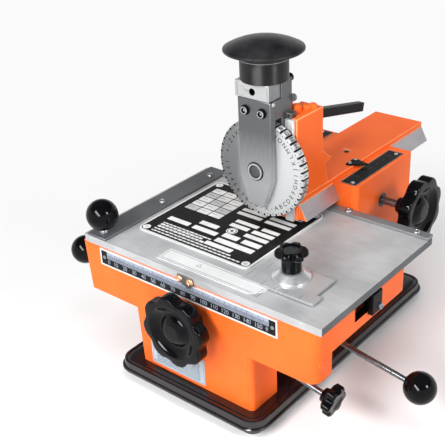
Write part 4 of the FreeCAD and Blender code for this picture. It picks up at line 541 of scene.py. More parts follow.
def make_base():
    """The stepped black base plate with its rolled edge, on four rubber feet."""
    low, high = span("base_plate")
    corner = 15.5
    rolled_edge = [
        (1.0, 0.0), (0.3, 0.4), (0.0, 1.0), (0.0, 2.2), (0.5, 2.9), (1.2, 3.1), (1.8, 3.0),
        (2.0, 3.3), (2.0, 7.0), (2.3, 8.2), (3.2, 8.9), (4.3, 9.0), (5.1, 8.7), (5.6, 8.2),
        (6.2, 8.2), (6.8, 8.7), (7.6, 8.9),
    ]
    shape = bmesh.new()
    rings = []
    for inset, rise in rolled_edge:
        sides = (low.x + inset, low.y + inset, high.x - inset, high.y - inset)
        outline = box_outline(sides, max(corner - inset, 2.0), steps=8)
        rings.append([shape.verts.new((x, y, low.z + rise)) for x, y in outline])
    skin(shape, rings, caps=True)
    wrap_up("base_plate", shape, "frame", BLACK_ENAMEL)

    low, high = span("rubber_feet")
    radius = 12.0
    profile = ringed([(4.7, 3.9), (4.7, 0), (9.8, 0, 0.8), (10.6, 3.0), (radius, 4.2, 0.6),
                      (radius, 7.0), (2.7, 7.0), (2.7, 3.9)])
    shape = bmesh.new()
    for x in (low.x + radius, high.x - radius):
        for y in (low.y + radius, high.y - radius):
            revolve(shape, profile, (x, y, low.z), UP, 40)
    bmesh.ops.remove_doubles(shape, verts=shape.verts, dist=1e-5)
    wrap_up("rubber_feet", shape, "frame", RUBBER)


def make_castings():
    """The painted castings with the stop block, and the two screws seen on their right."""
    notch = ((95.0, 109.0), (-99.0, -57.0), (88.0, 108.0))

    def notch_painted_shade(spot, normal):
        """Painted shade: the faces of the notch in the right wall are drawn black."""
        return 2 * all(least < value < most for value, (least, most) in zip(spot, notch))

    enamel = [ORANGE, ORANGE_EDGE_HIGHLIGHT]
    dressed("body_casting", "frame", enamel + [BLACK_OXIDE], 1.0, 3, 1.2,
            notch_painted_shade, 1)
    dressed("rear_support", "frame", enamel, 1.0, edge=1)
    dressed("rear_column", "frame", enamel, 1.0, 3, 1.2, edge=1)
    dressed("stop_block", "frame", BLACK_OXIDE, 0.6)

    low, high = span("body_casting")
    inset, height = 9.8, 77.9
    head = [(0, 0.9), (1.6, 0.9, 0.2), (1.9, 0.5), (3.6, 0.5, 0.3), (4.2, 0.1),
            (5.6, 0.1, 0.1), (5.6, -1.0)]
    turned_piece("painted_side_screw", head, (high.x, low.y + inset, height), RIGHT, "frame",
                 ORANGE, 36)
    low, high = span("stop_block")
    head = [(0, 0.8), (1.2, 0.8), (1.2, 1.6), (2.0, 1.6), (2.5, 1.2), (2.5, -1.0)]
    turned_piece("stop_screw", head, (high.x, high.y - 2.6, low.z + 3.4), RIGHT, "frame",
                 ZINC, 24)


def make_front_scale():
    """A pale frame, a grey-blue band with ticks and under it a black band with numbers."""
    low, high = span("front_scale")
    rim, block, proud, film, raised = 1.2, 6.2, 0.4, 0.05, 0.08
    face = low.y + proud
    length, height = high.x - low.x, high.z - low.z
    middle = height * 0.47
    left_end, right_end = rim + block, length - rim - block
    place = upright(low.x, face, low.z)
    shape = bmesh.new()
    slab(shape, (0, 0, length, height), face - high.y, 0, place, 3)
    frame_lines(shape, (0, 0, length, height), rim, 0, proud, place, 3)
    slab(shape, (left_end, middle, right_end, height - rim), 0, film, place, 1)
    slab(shape, (left_end, rim, right_end, middle), 0, film, place, 0)
    for left in (rim, right_end):
        slab(shape, (left, rim, left + block, height - rim), 0, 0.06, place, 0)
        rivet = place @ Vector((left + block / 2, height / 2, 0))
        revolve(shape, [(0, 0.75), (0.8, 0.7), (1.4, 0.4), (1.6, 0.0)], rivet, FRONT, 20, paint=2)
    pitch, letter_width, end_gap = 10.0, 2.4, 1.6
    first = (length - 16 * pitch) / 2
    for step in range(161):
        across = first + step
        if left_end < across < right_end:
            tick = (across - 0.2, middle + 0.1, across + 0.2,
                    middle + by_tens(step, 5.6, 4.6, 3.6))
            slab(shape, tick, film, raised, place, 0)
    for step in range(17):
        number = str(step * 10)
        for position, sign in enumerate(number):
            across = first + step * pitch + (position - (len(number) - 1) / 2) * letter_width
            across = min(max(across, left_end + end_gap), right_end - end_gap)
            spot = Matrix.Translation((across, (rim + middle) / 2, film))
            stamp(shape, sign, place @ spot, 3.7, 0.05, 1)
    wrap_up("front_scale", shape, "frame", [BLACK_INK, GREY_INK, ZINC, PALE_INK])


def make_data_plate():
    """A bare plate with a fine border, rows of short dashes and four rivets."""
    low, high = span("data_plate")
    length, height = high.x - low.x, high.z - low.z
    place = upright(low.x, low.y, low.z)
    inset, margin, rivet_inset = 1.0, 5.0, 2.6
    first_row, row_pitch, row_height, gap = 2.8, 1.75, 0.7, 0.8
    shape = bmesh.new()
    slab(shape, (0, 0, length, height), low.y - high.y, 0, place, 0, 1.0)
    frame_lines(shape, (inset, inset, length - inset, height - inset), 0.25, 0, 0.04, place, 1)
    for row in range(11):
        rise = first_row + row * row_pitch
        across = margin
        while across < length - margin - 1.0:
            reach = min(2.2 + (row * 5 + int(across)) % 7, length - margin - across)
            slab(shape, (across, rise, across + reach, rise + row_height), 0, FILM, place, 1)
            across += reach + gap
    for across in (rivet_inset, length - rivet_inset):
        for rise in (rivet_inset, height - rivet_inset):
            rivet = place @ Vector((across, rise, 0))
            revolve(shape, [(0, 0.5), (0.6, 0.4), (0.95, 0.0)], rivet, FRONT, 16, paint=2)
    wrap_up("data_plate", shape, "frame", [PLATE_INK, TEXT_INK, ZINC])


def make_column_scale():
    """Black printed strips on the column, one each side of the arm, with ticks and numbers."""
    low, high = span("column_scale")
    width, rim, right_length, margin = 13.9, 0.5, 76.0, 5.5
    top = high.z + FILM
    shape = bmesh.new()
    for left, rear, inward in ((high.x - width, low.y + right_length, 1), (low.x, high.y, -1)):
        right = left + width
        slab(shape, (left, low.y, right, rear), low.z, high.z, paint=1)
        slab(shape, (left + rim, low.y + rim, right - rim, rear - rim), high.z, top)
        edge = left + rim + 0.4 if inward > 0 else right - rim - 0.4
        for step in range(66):
            back = low.y + margin + step
            near, far = sorted((edge, edge + inward * by_tens(step, 3.0, 2.2, 1.5)))
            slab(shape, (near, back - 0.1, far, back + 0.1), top, top + LINE, paint=3)
        for step in range(7):
            for position, sign in enumerate(str(step * 10)):
                back = low.y + margin + step * 10 + position * 2.0 - 1.0
                place = Matrix.Translation((edge + inward * 5.6, back, top))
                stamp(shape, sign, place @ Matrix.Rotation(math.radians(90), 4, "Z"), 2.4, LINE, 3)
        for y in (low.y + 3.6, rear - 3.6):
            rivet = ((left + right) / 2 + inward * 2.2, y, high.z + 0.02)
            revolve(shape, [(0, 0.8), (0.9, 0.7), (1.5, 0.4), (1.75, 0.0)], rivet, UP, 20, paint=2)
    wrap_up("column_scale", shape, "frame", [BLACK_INK, ZINC, BLOCK_METAL, DARK_SHEET])


def make_lock_knob():
    """The fluted knob on the column that locks the arm."""
    low, high = span("lock_knob")
    middle = centre("lock_knob")
    seat = 101.0
    radius = (high.x - low.x) / 2

    def fluted(reach, angle):
        return reach - 0.5 * (reach > radius - 1.2) * (0.5 + 0.5 * math.cos(16 * angle))

    profile = [(0, -11), (3, -11), (3, 0.3), (radius - 1.6, 0.3, 0.8),
               (radius, 5.0, 1.5), (radius, 14.0, 2.0), (radius - 3, 16.0, 1.5),
               (0, 15.4)]
    turned_piece("lock_knob", profile, (middle.x, seat, middle.z), BACK, "lock_knob", PHENOLIC,
                 96, fluted)


# Table, its plates and its clamp


def make_table():
    """The table plate with its strips, pointer, screws, gauge plate and left ball."""
    # painted shade: faces looking to the right get the darker metal
    dressed("table_plate", "table", [TABLE_METAL, TABLE_SIDE_PAINTED_SHADE], 0.55, 2, 1.0,
            lambda spot, normal: normal.x > 0.9)
    dressed("left_strip", "table", STRIP_METAL, 0.35, 1, 1.5)
    dressed("rear_strip", "table", RIM_METAL, 0.45, 1, 1.5)
    dressed("gauge_plate", "table", PALE_METAL, 0.1, 1)
    dressed("front_pointer", "table", STRIP_METAL, 0.2, 1, 1.0)

    strip_low, strip_high = span("left_strip")
    rear_high = span("rear_strip")[1]
    table_low, table_high = span("table_plate")
    pointer = centre("front_pointer")
    # the screws' places are measured from the edges of the table and its strips
    shape = bmesh.new()
    for y in (table_low.y + 74.0, table_high.y - 15.0):
        pan_head(shape, (strip_low.x + 12.0, y, strip_high.z), UP)
    for x in (strip_high.x + 30.0, table_high.x - 72.6, table_high.x - 11.6):
        pan_head(shape, (x, centre("rear_strip").y, rear_high.z), UP)
    for x in (pointer.x - 5.0, pointer.x + 5.0):
        spot = (x, span("front_pointer")[0].y, table_high.z - 4.5)
        pan_head(shape, spot, FRONT, 3.0, 1.6, 1)
    wrap_up("table_screws", shape, "table", [ZINC, COPPERED])

    low, high = span("gauge_plate")
    middle = centre("gauge_plate")
    shape = bmesh.new()
    for inset in (0.4, 2.4):
        sides = (low.x + inset, low.y + inset, high.x - inset, high.y - inset)
        frame_lines(shape, sides, 0.3, high.z, high.z + FILM)
    for turn in range(3):
        triangle_side = (Matrix.Translation((middle.x - 12, middle.y, high.z))
                         @ Matrix.Rotation(math.radians(120 * turn), 4, "Z"))
        extrude(shape, [(-2.2, -1.4), (2.2, -1.4), (2.0, -1.1), (-2.0, -1.1)], 0, FILM,
                triangle_side)
    wrap_up("gauge_plate_lines", shape, "table", DARK_SHEET)

    ball = centre("table_ball")
    radius = 12.7
    hub = span("table_ball")[1].z - radius
    turned_piece("table_ball", [(0, hub - radius)] + arc(0, hub, radius, -76, 90, 40),
                 (ball.x, ball.y, 0), UP, "table", PHENOLIC, 72)
    seat = strip_high.z
    collar = [(0, seat + 2.6), (3.2, seat + 2.6, 0.2), (3.9, seat + 1.6), (3.9, seat)]
    turned_piece("table_ball_collar", collar, (ball.x, ball.y, 0), UP, "table", ZINC,
                 32)


def make_nameplate():
    """The work piece: a black print with pale fields and pale rings at its corners."""
    low, high = span("nameplate")
    length, depth = high.x - low.x, high.y - low.y
    border = 1.6
    level = high.z + FILM
    shape = bmesh.new()
    slab(shape, (low.x, low.y, high.x, high.y), low.z, high.z, paint=1, radius=5.0)
    slab(shape, (low.x + border, low.y + border, high.x - border, high.y - border), high.z, level,
         radius=3.6)

    def field(left, front, width, height, paint=2, radius=0.4, over=0.0):
        """A patch of print, placed from the plate's front left corner."""
        sides = (low.x + left, low.y + front, low.x + left + width, low.y + front + height)
        slab(shape, sides, level + over, level + over + LINE, None, paint, radius)

    for x in (5.6, length - 5.6):
        for y in (5.6, depth - 5.6):
            spot = (low.x + x, low.y + y, level)
            disc(shape, 3.3, 0.02, spot, UP, 28, 2)
            disc(shape, 1.5, 0.05, spot, UP, 20, 3)
    for row, (left, right, height) in enumerate((
            (12, 98, 1.5), (12, 88, 1.5), (12, 60, 2.3), (12, 52, 2.3), (12, 60, 1.5))):
        while left < right:
            dash = 1.4 + (row * 5 + int(left * 3)) % 4
            field(left, 3.8 + row * 3.5, dash, height, radius=0.0)
            left += dash + 0.7
    for sides in (
            (60, 11, 26, 5), (64, 18.5, 36, 6), (64, 27.5, 15, 6), (83, 27.5, 17, 6),
            (36, 24.5, 24, 5.5), (10, 24.5, 22, 5.5), (36, 33.5, 18, 5.5), (78, 37, 22, 5),
            (58, 44.5, 18, 5), (80, 44.5, 20, 5), (58, 52, 22, 4.5), (84, 52, 16, 4.5),
            (50, 64, 24, 4.5), (78, 64, 24, 4.5), (50, 71, 24, 4.5), (78, 71, 24, 4.5),
            (50, 81, 52, 3.5), (50, 87.5, 24, 4), (78, 87.5, 24, 4)):
        field(*sides)
    badge = (low.x + 66, low.y + 38.5, level)
    for radius, rise, paint in ((4.6, 0.02, 2), (3.8, 0.04, 0), (3.2, 0.06, 2), (1.4, 0.08, 0)):
        disc(shape, radius, rise, badge, UP, 40, paint)
    for column in range(3):
        for row in range(5):
            left, front = 8 + column * 12.6, 48 + row * 8.6
            field(left, front, 11.6, 7.6, 2 if (row + column) % 3 else 3)
            field(left + 1.5, front + 4, 5.5, 0.6, 4, 0.0, over=LINE)
    wrap_up("nameplate", shape, "table", [BLACK_INK, PALE_METAL, PALE_INK, CELL_INK, TEXT_INK])


def make_clamp():
    """Clamp plate with its bright conical flange and a six-lobed knob on a stem."""
    dressed("clamp_plate", "clamp", CLAMP_METAL, 0.6, 2, 1.0)
    low, high = span("clamp_cone")
    middle = centre("clamp_cone")
    rise = high.z - low.z
    foot = (high.x - low.x) / 2
    bore, stem = 3.2, 7.2
    profile = ringed([(bore, 0), (foot, 0, 0.2), (foot, 1.3, 0.5), (stem + 1.4, rise - 0.3, 0.5),
                      (stem + 0.6, rise), (bore, rise)])
    turned_piece("clamp_cone", profile, (middle.x, middle.y, low.z), UP, "clamp_screw", CHROMED,
                 96)
    knob_low, knob_high = span("clamp_knob")
    radius = (knob_high.y - knob_low.y) / 2
    top = knob_high.z - high.z
    shank = knob_low.z - high.z
    under = 10.8
    profile = [
        (0, shank), (bore - 0.2, shank), (bore - 0.2, 0), (stem, 0, 0.4), (stem, under),
        (radius - 1.6, under, 0.6), (radius, under + 1.6, 0.8), (radius, top - 2.0, 1.0),
        (radius - 1.6, top - 0.2, 0.8), (stem, top, 0.8), (stem - 1.6, top - 1.4, 0.8),
        (0, top - 1.4)]
    turned_piece("clamp_knob", profile, (middle.x, middle.y, high.z), UP, "clamp_screw",
                 PHENOLIC, 120,
                 lobed(6, 4.0, stem, radius, 2.0, math.radians(49.3)), 50)


def make_handwheel(name, face, axis, hub_radius, hub_length, body, phase):
    """A moulded handwheel: eight lobes round a dished face, a wide groove and a low boss."""
    depth, rim, sweep = 10.5, 29.0, 24.0
    profile = [
        (0, -hub_length), (hub_radius, -hub_length, 0.8), (hub_radius, 2.5, 0.6),
        (19.0, 2.5, 0.6), (21.0, 0.0, 0.6), (rim, 0.0, 1.4), (rim, depth, 1.8),
        (21.4, depth, 0.6), (20.3, 9.6)]
    profile += arc(3.94, 27.14, sweep, 312, 300, 8)
    profile += arc(14.44, 8.96, 3.0, 296, 240, 10)
    profile += arc(-3.46, -11.24, sweep, 48, 60, 8)
    profile += [(8.2, 9.7), (7.4, 9.8, 0.3), (6.7, 10.3, 0.3), (0, 10.3)]
    turned_piece(name, profile, face - axis * depth, axis, body, PHENOLIC, 160,
                 lobed(8, 3.2, 23.0, rim, 1.5, phase), 42)


def make_handwheels():
    """The feed wheel on the front and the arm's wheel at the right, hubs inwards."""
    feed = centre("feed_handwheel")
    feed.y = span("feed_handwheel")[0].y
    make_handwheel("feed_handwheel", feed, FRONT, 11.0, 13.2, "feed_wheel", 0.2)
    side = centre("arm_handwheel")
    side.x = span("arm_handwheel")[1].x
    make_handwheel("arm_handwheel", side, RIGHT, 6.5, 13.4, "arm_wheel", 0.1)


# Arm and head bracket


def make_arm():
    """The dovetail arm with its bracket, gibs, pointer and the plug in its top."""
    high = span("arm_slide")[1]
    half, flank_top = 24.2, 136.0

    def arm_paint(spot, normal):
        """Ground steel on the dovetail's flanks with a painted highlight of brighter metal along
        their outer edge, enamel on the rest.
        """
        if normal.z < -0.9:
            return 1
        if abs(spot.x) < half + 0.3 or spot.z > flank_top or normal.y < -0.6:
            return 0
        # painted highlight: the outermost strip of each flank is drawn in a brighter metal
        return 3 if abs(spot.x) > high.x - 1.0 else 1

    dressed("arm_slide", "arm", [ORANGE, FLANK_METAL, ORANGE_EDGE_HIGHLIGHT, BLOCK_METAL],
            0.6, 2, 1.5, arm_paint, 2)
    dressed("head_bracket", "arm", [ORANGE, ORANGE_EDGE_HIGHLIGHT], 0.8, 3, 1.5, edge=1)
    gibs = dressed("slide_gibs", "arm", GIB_METAL, 0.4, 1)
    # the gibs end short of the bracket's corners
    inner, outer, shown = 15.5 * MM, half * MM, 22.6 * MM
    for vertex in gibs.data.vertices:
        reach = abs(vertex.co.x)
        if reach > inner:
            reach = inner + (reach - inner) * (shown - inner) / (outer - inner)
            vertex.co.x = math.copysign(reach, vertex.co.x)
    dressed("arm_pointer", "arm", BLACK_OXIDE, 0.2, 1, 1.0)

    pointer_low, pointer_high = span("arm_pointer")
    shape = bmesh.new()
    for y in (pointer_low.y + 3.2, pointer_high.y - 1.9):
        pan_head(shape, (pointer_low.x + 2.3, y, pointer_high.z), UP, 1.6, 1.0)
    wrap_up("arm_pointer_screws", shape, "arm", ZINC)

    top = span("head_bracket")[1].z
    shape = bmesh.new()
    for x, y, radius, rise in ((13.0, -21.0, 4.2, 5.6), (16.6, -13.0, 4.0, 4.0),
                               (19.4, -8.4, 4.0, 3.6)):
        lump = [(0, rise), (radius - 1.6, rise, 1.4), (radius, rise - 1.8, 1.2),
                (radius, -0.8)]
        revolve(shape, lump, (x, y, top), UP, 32)
    wrap_up("bracket_lumps", shape, "arm", ORANGE)

    # painted shade and highlight: a black crescent of shade round a pale orange lit face on the
    # plug
    shape = bmesh.new()
    disc(shape, 2.8, 0.03, (3.6, 66.0, high.z), UP, 28, 1)
    disc(shape, 2.4, 0.06, (4.3, 65.1, high.z), UP, 28, 0)
    wrap_up("arm_top_plug", shape, "arm", [BLACK_OXIDE, ORANGE_EDGE_HIGHLIGHT])


def make_spring():
    """The return spring's coils: one wire along a helix."""
    low, high = span("return_spring")
    middle = centre("return_spring")
    wire, coils, sides, coil_steps = 0.5, 9, 8, 24
    radius = (high.x - low.x) / 2 - wire
    steps = coils * coil_steps
    shape = bmesh.new()
    rings = []
    for step in range(steps + 1):
        share = step / steps
        angle = 2 * math.pi * coils * share
        outward = Vector((math.cos(angle), math.sin(angle), 0))
        rise = low.z + wire + (high.z - low.z - 2 * wire) * share
        core = Vector((middle.x, middle.y, rise)) + outward * radius
        rounds = [2 * math.pi * side / sides for side in range(sides)]
        rings.append([shape.verts.new(core + wire * (outward * math.cos(a) + UP * math.sin(a)))
                      for a in rounds])
    skin(shape, rings, caps=True)
    spring = wrap_up("return_spring", shape, "arm", SPRING_STEEL)
    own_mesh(spring)


# Head: ram, plates, type wheel and palm button


def make_head_plates():
    """The ground ram, cheek plate and spacer, and the pale block over them."""
    dressed("ram", "head", RAM_METAL, 0.5, 2, 1.5)
    # painted shade: the cheek plate and the spacer are drawn darker towards their top
    dressed("cheek_plate", "head", CHEEK_METAL_PAINTED_SHADE, 0.7, 2, 1.5)
    dressed("spacer_block", "head", CHEEK_METAL_PAINTED_SHADE, 0.3, 1, 1.5)
    low = span("top_block")[0]
    hole = Vector((-1.3, low.y, low.z + 5.6))

    def block_painted_shade(spot, normal):
        """Painted shade: the set screw hole in the block's front is drawn black inside, and its
        sides in a darker metal.
        """
        away = spot - hole
        if away.y > 0.2 and math.hypot(away.x, away.z) < 3.2:
            return 1
        return 2 if abs(normal.x) > 0.9 else 0

    block = dressed("top_block", "head", [BLOCK_METAL, BLACK_OXIDE, BLOCK_SIDE_PAINTED_SHADE],
                    0.45, 2, 2.0, block_painted_shade)
    # the block stands a little to the left of the cheek plate
    for vertex in block.data.vertices:
        if abs(vertex.co.x) > 10 * MM:
            vertex.co.x -= (2.2 if vertex.co.x < 0 else 1.2) * MM
    shape = bmesh.new()
    for left, right in ((-15.2, -14.8), (12.2, 12.5)):
        slab(shape, (left, 1.0, right, 11.6), 0, FILM, upright(0, low.y, low.z))
    wrap_up("top_block_lines", shape, "head", STRIP_METAL)


def make_head_screws():
    """The cheek plate's two socket screws on their washers, and the type wheel's axle."""
    face = span("cheek_plate")[0].y
    half_spacing = 7.65
    washer = ringed([(2.2, 0.0), (3.9, 0.0), (3.9, 0.6, 0.2), (2.2, 0.6)])
    head = [(1.5, 1.0), (1.5, 2.9), (2.5, 2.9, 0.3), (3.0, 2.3), (3.0, 0.55)]
    painted_glint = [(2.1, 2.85), (2.15, 2.98), (2.6, 2.98), (2.9, 2.6), (2.85, 2.3)]
    shape = bmesh.new()
    for x in (-half_spacing, half_spacing):
        spot = (x, face, centre("cheek_screws").z)
        # painted highlight: a bright ring on each head's top and a bright spot at the bottom of its
        # socket
        for profile, turns, paint in (
                (washer, 40, 1), (head, 40, 1), (painted_glint, 40, 0), ([(0, 1.4), (1.5, 1.4)], 6, 1),
                ([(0, 2.2), (0.9, 2.1), (1.0, 1.4)], 12, 0)):
            revolve(shape, profile, spot, FRONT, turns, paint=paint)
    wrap_up("cheek_screws", shape, "head", [BRIGHT, BLACK_OXIDE])

    low, high = span("wheel_axle")
    spot = (0, face, centre("type_wheel").z)
    ring = (high.x - low.x) / 2
    tail = face - high.y
    profile = [
        (0, tail), (4, tail), (4, 0), (ring, 0, 0.1), (ring, 0.9, 0.3), (ring - 1.0, 1.0, 0.3),
        (ring - 1.3, 0.2), (ring - 1.9, 0.2), (ring - 2.1, 0.7, 0.2), (0, 0.8)]
    turned_piece("wheel_axle", profile, spot, FRONT, "head", RAM_METAL)
    # painted shade and highlight: dark rings in the grooves and one bright ring on the axle's end
    shape = bmesh.new()
    for radius, half, rise, paint in ((ring - 1.7, 0.3, 0.4, 0), (ring - 0.6, 0.65, 1.1, 1),
                                      (ring + 0.5, 0.5, 0.25, 0)):
        inner, outer = radius - half, radius + half
        revolve(shape, [(inner, 0.0), (inner, rise), (outer, rise), (outer, 0.0)], spot, FRONT,
                paint=paint)
    wrap_up("wheel_axle_painted_light_rings", shape, "head", [BLACK_OXIDE, BRIGHT])


def make_palm_button():
    """The mushroom button on its sleeve, with a bright ring between them as a painted highlight."""
    low, high = span("button_sleeve")
    middle = centre("button_sleeve")
    foot = (middle.x, middle.y, low.z)
    rise = high.z - low.z
    sleeve = (high.x - low.x) / 2
    bore = 8
    profile = ringed([(bore, 0), (sleeve - 0.9, 0, 0.3), (sleeve - 0.5, 1.0),
                      (sleeve - 0.5, rise - 1.6, 0.3), (sleeve, rise - 1.1, 0.2),
                      (sleeve, rise, 0.2), (bore, rise)])
    turned_piece("button_sleeve", profile, foot, UP, "head", SLEEVE_PHENOLIC,
                 96)
    # painted highlight: a thin bright ring where the sleeve meets the button
    inner, outer = sleeve - 0.7, sleeve + 0.25
    highlight_bead = ringed([(inner, rise - 0.3), (outer, rise - 0.3), (outer, rise + 0.15),
                   (inner, rise + 0.15)])
    turned_piece("sleeve_highlight_bead", highlight_bead, foot, UP, "head", GEAR_STEEL, 96)

    knob_low, knob_high = span("palm_button")
    reach = (knob_high.x - knob_low.x) / 2
    shank = knob_low.z - high.z
    crest = knob_high.z - high.z
    flare = 5.2
    rim = flare + 2.0
    dome = (reach ** 2 + (crest - rim) ** 2) / (2 * (crest - rim))
    edge = math.degrees(math.asin((reach - 0.3) / dome))
    profile = [(0, shank), (bore, shank), (bore, 0), (sleeve - 0.5, 0),
               (reach - 1.0, flare - 0.3, 0.5), (reach, flare + 0.5, 0.3),
               (reach, rim - 0.3, 0.2), (reach - 0.3, rim)]
    turned_piece("palm_button", profile + arc(0, crest - dome, dome, 90 - edge, 90, 24),
                 (middle.x, middle.y, high.z), UP, "head", SATIN_PHENOLIC, 128,
                 smooth=30)


def make_ram_fittings():
    """The small knob and screw behind the ram, and the dowel pin in its side."""
    knob = centre("rear_knob")
    knob.y = span("rear_knob")[0].y
    profile = [(0, 0), (2.2, 0), (2.2, 4.0), (3.2, 4.6, 0.5), (3.2, 9.2, 0.8),
               (2.2, 10.0, 0.5), (0, 10.0)]
    turned_piece("rear_knob", profile, knob, BACK, "head", PHENOLIC, 32)
    screw = [(0, -0.2), (2.9, -0.2), (2.9, 2.0, 0.5), (1.8, 2.3), (1.8, 3.4, 0.4), (0, 3.4)]
    turned_piece("ram_rear_screw", screw, (15.4, -29.0, 220.6), BACK, "head", ZINC,
                 24)
    pin = [(0, 0.9), (1.3, 0.9, 0.4), (1.8, 0.2), (1.8, -1.0)]
    turned_piece("dowel_pin", pin, (15.1, -52.5, 222.0), RIGHT, "head", BLOCK_METAL,
                 24)


def make_type_wheel():
    """The type wheel: a satin disc drawn darker towards its left as painted shade, type blocks
    round its rim and the same signs on its face.
    """
    low, high = span("type_wheel")
    middle = centre("type_wheel")
    radius = (high.x - low.x) / 2
    thickness = high.y - low.y
    signs = "-X-ABCDEFGHIJKLMNOPQRSTUVWXYZ/+.1234567890"
    pitch = 2 * math.pi / len(signs)
    bottom = math.radians(-90)
    face = upright(middle.x, high.y, middle.z)

    def on_rim(angle, reach):
        """X along the rim, Y to the front, Z away from the axle."""
        away = Vector((math.cos(angle), 0, math.sin(angle)))
        along = Vector((-math.sin(angle), 0, math.cos(angle)))
        turned = Matrix((along, FRONT, away)).transposed().to_4x4()
        return Matrix.Translation(middle + away * reach) @ turned

    outline = []
    for place in range(len(signs)):
        for share, inset in ((0.0, 2.6), (0.1, 0.9), (0.2, 0.5), (0.8, 0.5), (0.9, 0.9)):
            angle = bottom + pitch * (place - 0.5 + share)
            reach = radius - inset
            outline.append((reach * math.cos(angle), reach * math.sin(angle)))
    shape = bmesh.new()
    extrude(shape, outline, 0, thickness, face)
    for place, sign in enumerate(signs):
        angle = bottom + pitch * place
        turned = face @ Matrix.Rotation(angle - bottom, 4, "Z")
        engraved = turned @ Matrix.Translation((0, 6.6 - radius, thickness))
        stamp(shape, sign, engraved, 3.7, 0.04, 1)
        disc(shape, 0.42, 0.05, turned @ Vector((0, 2.3 - radius, thickness)), FRONT, 10, 1)
        block = on_rim(angle, radius)
        slab(shape, (-2.1, -3.0, 2.1, 3.0), -0.8, -0.2, block, 0, 0.3)
        stamp(shape, sign, block @ Matrix.Translation((0, 0, -0.2)), 3.4, 0.15, 1)
        # painted shade: a black block fills the gap between two type blocks
        gap = thickness / 2 + 0.04
        slab(shape, (-0.75, -gap, 0.75, gap), -0.9, 0.8, on_rim(angle + pitch / 2, radius - 1.2), 1)
    wrap_up("type_wheel", shape, "type_wheel", [WHEEL_METAL_PAINTED_SHADE, BLACK_INK], 28)


# Levers, rods and their knobs


def make_ball(name, body, at, axis, radius, bore):
    """A moulded ball with a small flat where its rod goes in."""
    flat = math.degrees(math.asin((bore + 1.6) / radius))
    profile = [(0, -radius * math.cos(math.radians(flat)))]
    profile += arc(0, 0, radius, -90 + flat, 90, 40)
    turned_piece(name, profile, at, axis, body, PHENOLIC, 72)


def sloping(degrees):
    """The direction to the right and down at an angle."""
    slope = math.radians(degrees)
    return Vector((math.cos(slope), 0, -math.sin(slope)))


def make_levers():
    """The balls and the star knob on their rods, and the bar lever behind the head."""
    lever_pivot, lever_length = Vector((34.7, -66.0, 59.7)), 119.2
    down = sloping(9.46)
    make_ball("lever_ball", "ball_lever", lever_pivot + down * lever_length, down, 12.2, 2.2)

    ball = centre("pull_ball")
    ball.x = -155.3
    make_ball("pull_ball", "pull_knob", ball, LEFT, 12.5, 3.0)

    rod_start, rod_length = Vector((54.7, -122.0, 60.0)), 61.5
    down = sloping(11.4)
    profile = [(2.25, -8.0), (5.2, -8.0, 0.6), (6.0, -4.0), (9.6, -4.0, 0.8),
               (12.0, -2.4, 0.8), (12.0, 2.6, 0.9), (10.6, 4.0, 0.8), (6.0, 3.7, 0.6),
               (4.6, 3.0), (0, 3.0)]
    turned_piece("pitch_knob", profile, rod_start + down * rod_length, down, "pitch_screw",
                 PHENOLIC, 96, lobed(6, 3.6, 6.4, 12.0, 1.2), 45)
    dressed("index_lever", "index_lever", BLACK_OXIDE, 0.5, 2, 2.0)


# Studio


def staged(name, shape, finish):
    """Puts a part of the studio, built in metres, into the scene."""
    mesh = bpy.data.meshes.new(name)
    shape.to_mesh(mesh)
    shape.free()
    mesh.materials.append(finish)
    piece = bpy.data.objects.new(name, mesh)
    bpy.context.scene.collection.objects.link(piece)


def seen_directly(tree):
    """One for a ray from the camera, or one that a mirror or a glass passes on, else nought."""
    path = node(tree, "LightPath")
    seen = path.outputs["Is Camera Ray"]
    for kind in ("Is Glossy Ray", "Is Transmission Ray"):
        seen = node(tree, "Math", {0: seen, 1: path.outputs[kind]}, operation="MAXIMUM").outputs[0]
    return seen


def make_backdrop():
    """A white paper floor that keeps the shadow, a white screen round it and a plain grey sky.

    Away from the machine the floor fades to the same plain white as the screen.
    """
    reach, wall, paper_white = 7.0, 2.8, linear("#FAFAFA")
    fade_start, fade_end = 0.13, 0.42
    shape = bmesh.new()
    bmesh.ops.create_circle(shape, cap_ends=True, segments=64, radius=reach)
    paper, tree, shader = material("white_paper_floor", Roughness=0.9, Specular_IOR_Level=0.0)
    drive(tree, shader, "Base Color", pattern(tree, 400), "#E8E8E8", "#EAEAEA")
    place = node(tree, "TexCoord")
    away = node(tree, "VectorMath", {0: place.outputs["Object"]}, operation="LENGTH")
    far = node(tree, "MapRange", {
        "Value": away.outputs["Value"], "From Min": fade_start, "From Max": fade_end})
    share = node(tree, "Math", {0: seen_directly(tree), 1: far.outputs["Result"]},
                 operation="MULTIPLY")
    white = node(tree, "Emission", {"Color": paper_white, "Strength": 1.0})
    both = node(tree, "MixShader", {
        0: share.outputs[0], 1: shader.outputs["BSDF"], 2: white.outputs[0]})
    tree.links.new(both.outputs[0], tree.nodes["Material Output"].inputs["Surface"])
    staged("floor", shape, paper)

    shape = bmesh.new()
    revolve(shape, [(reach * 0.99, -0.01), (reach * 0.99, wall)], (0, 0, 0))
    screen = bpy.data.materials.new("white_backdrop")
    tree = emptied(screen)
    clear = node(tree, "BsdfTransparent")
    white = node(tree, "Emission", {"Color": paper_white, "Strength": 1.0})
    both = node(tree, "MixShader", {
        0: seen_directly(tree), 1: clear.outputs[0], 2: white.outputs[0]})
    node(tree, "OutputMaterial", {"Surface": both.outputs[0]})
    staged("backdrop", shape, screen)

    world = bpy.data.worlds.new("studio")
    bpy.context.scene.world = world
    tree = emptied(world)
    sky = node(tree, "Background", {"Color": linear("#6E7072"), "Strength": 1.0})
    node(tree, "OutputWorld", {"Surface": sky.outputs["Background"]})


def towards(azimuth, elevation):
    """The direction from the machine to a lamp or the camera. Azimuth nought is the front."""
    turn, lift = math.radians(azimuth), math.radians(elevation)
    return Vector((math.sin(turn) * math.cos(lift), -math.cos(turn) * math.cos(lift),
                   math.sin(lift)))


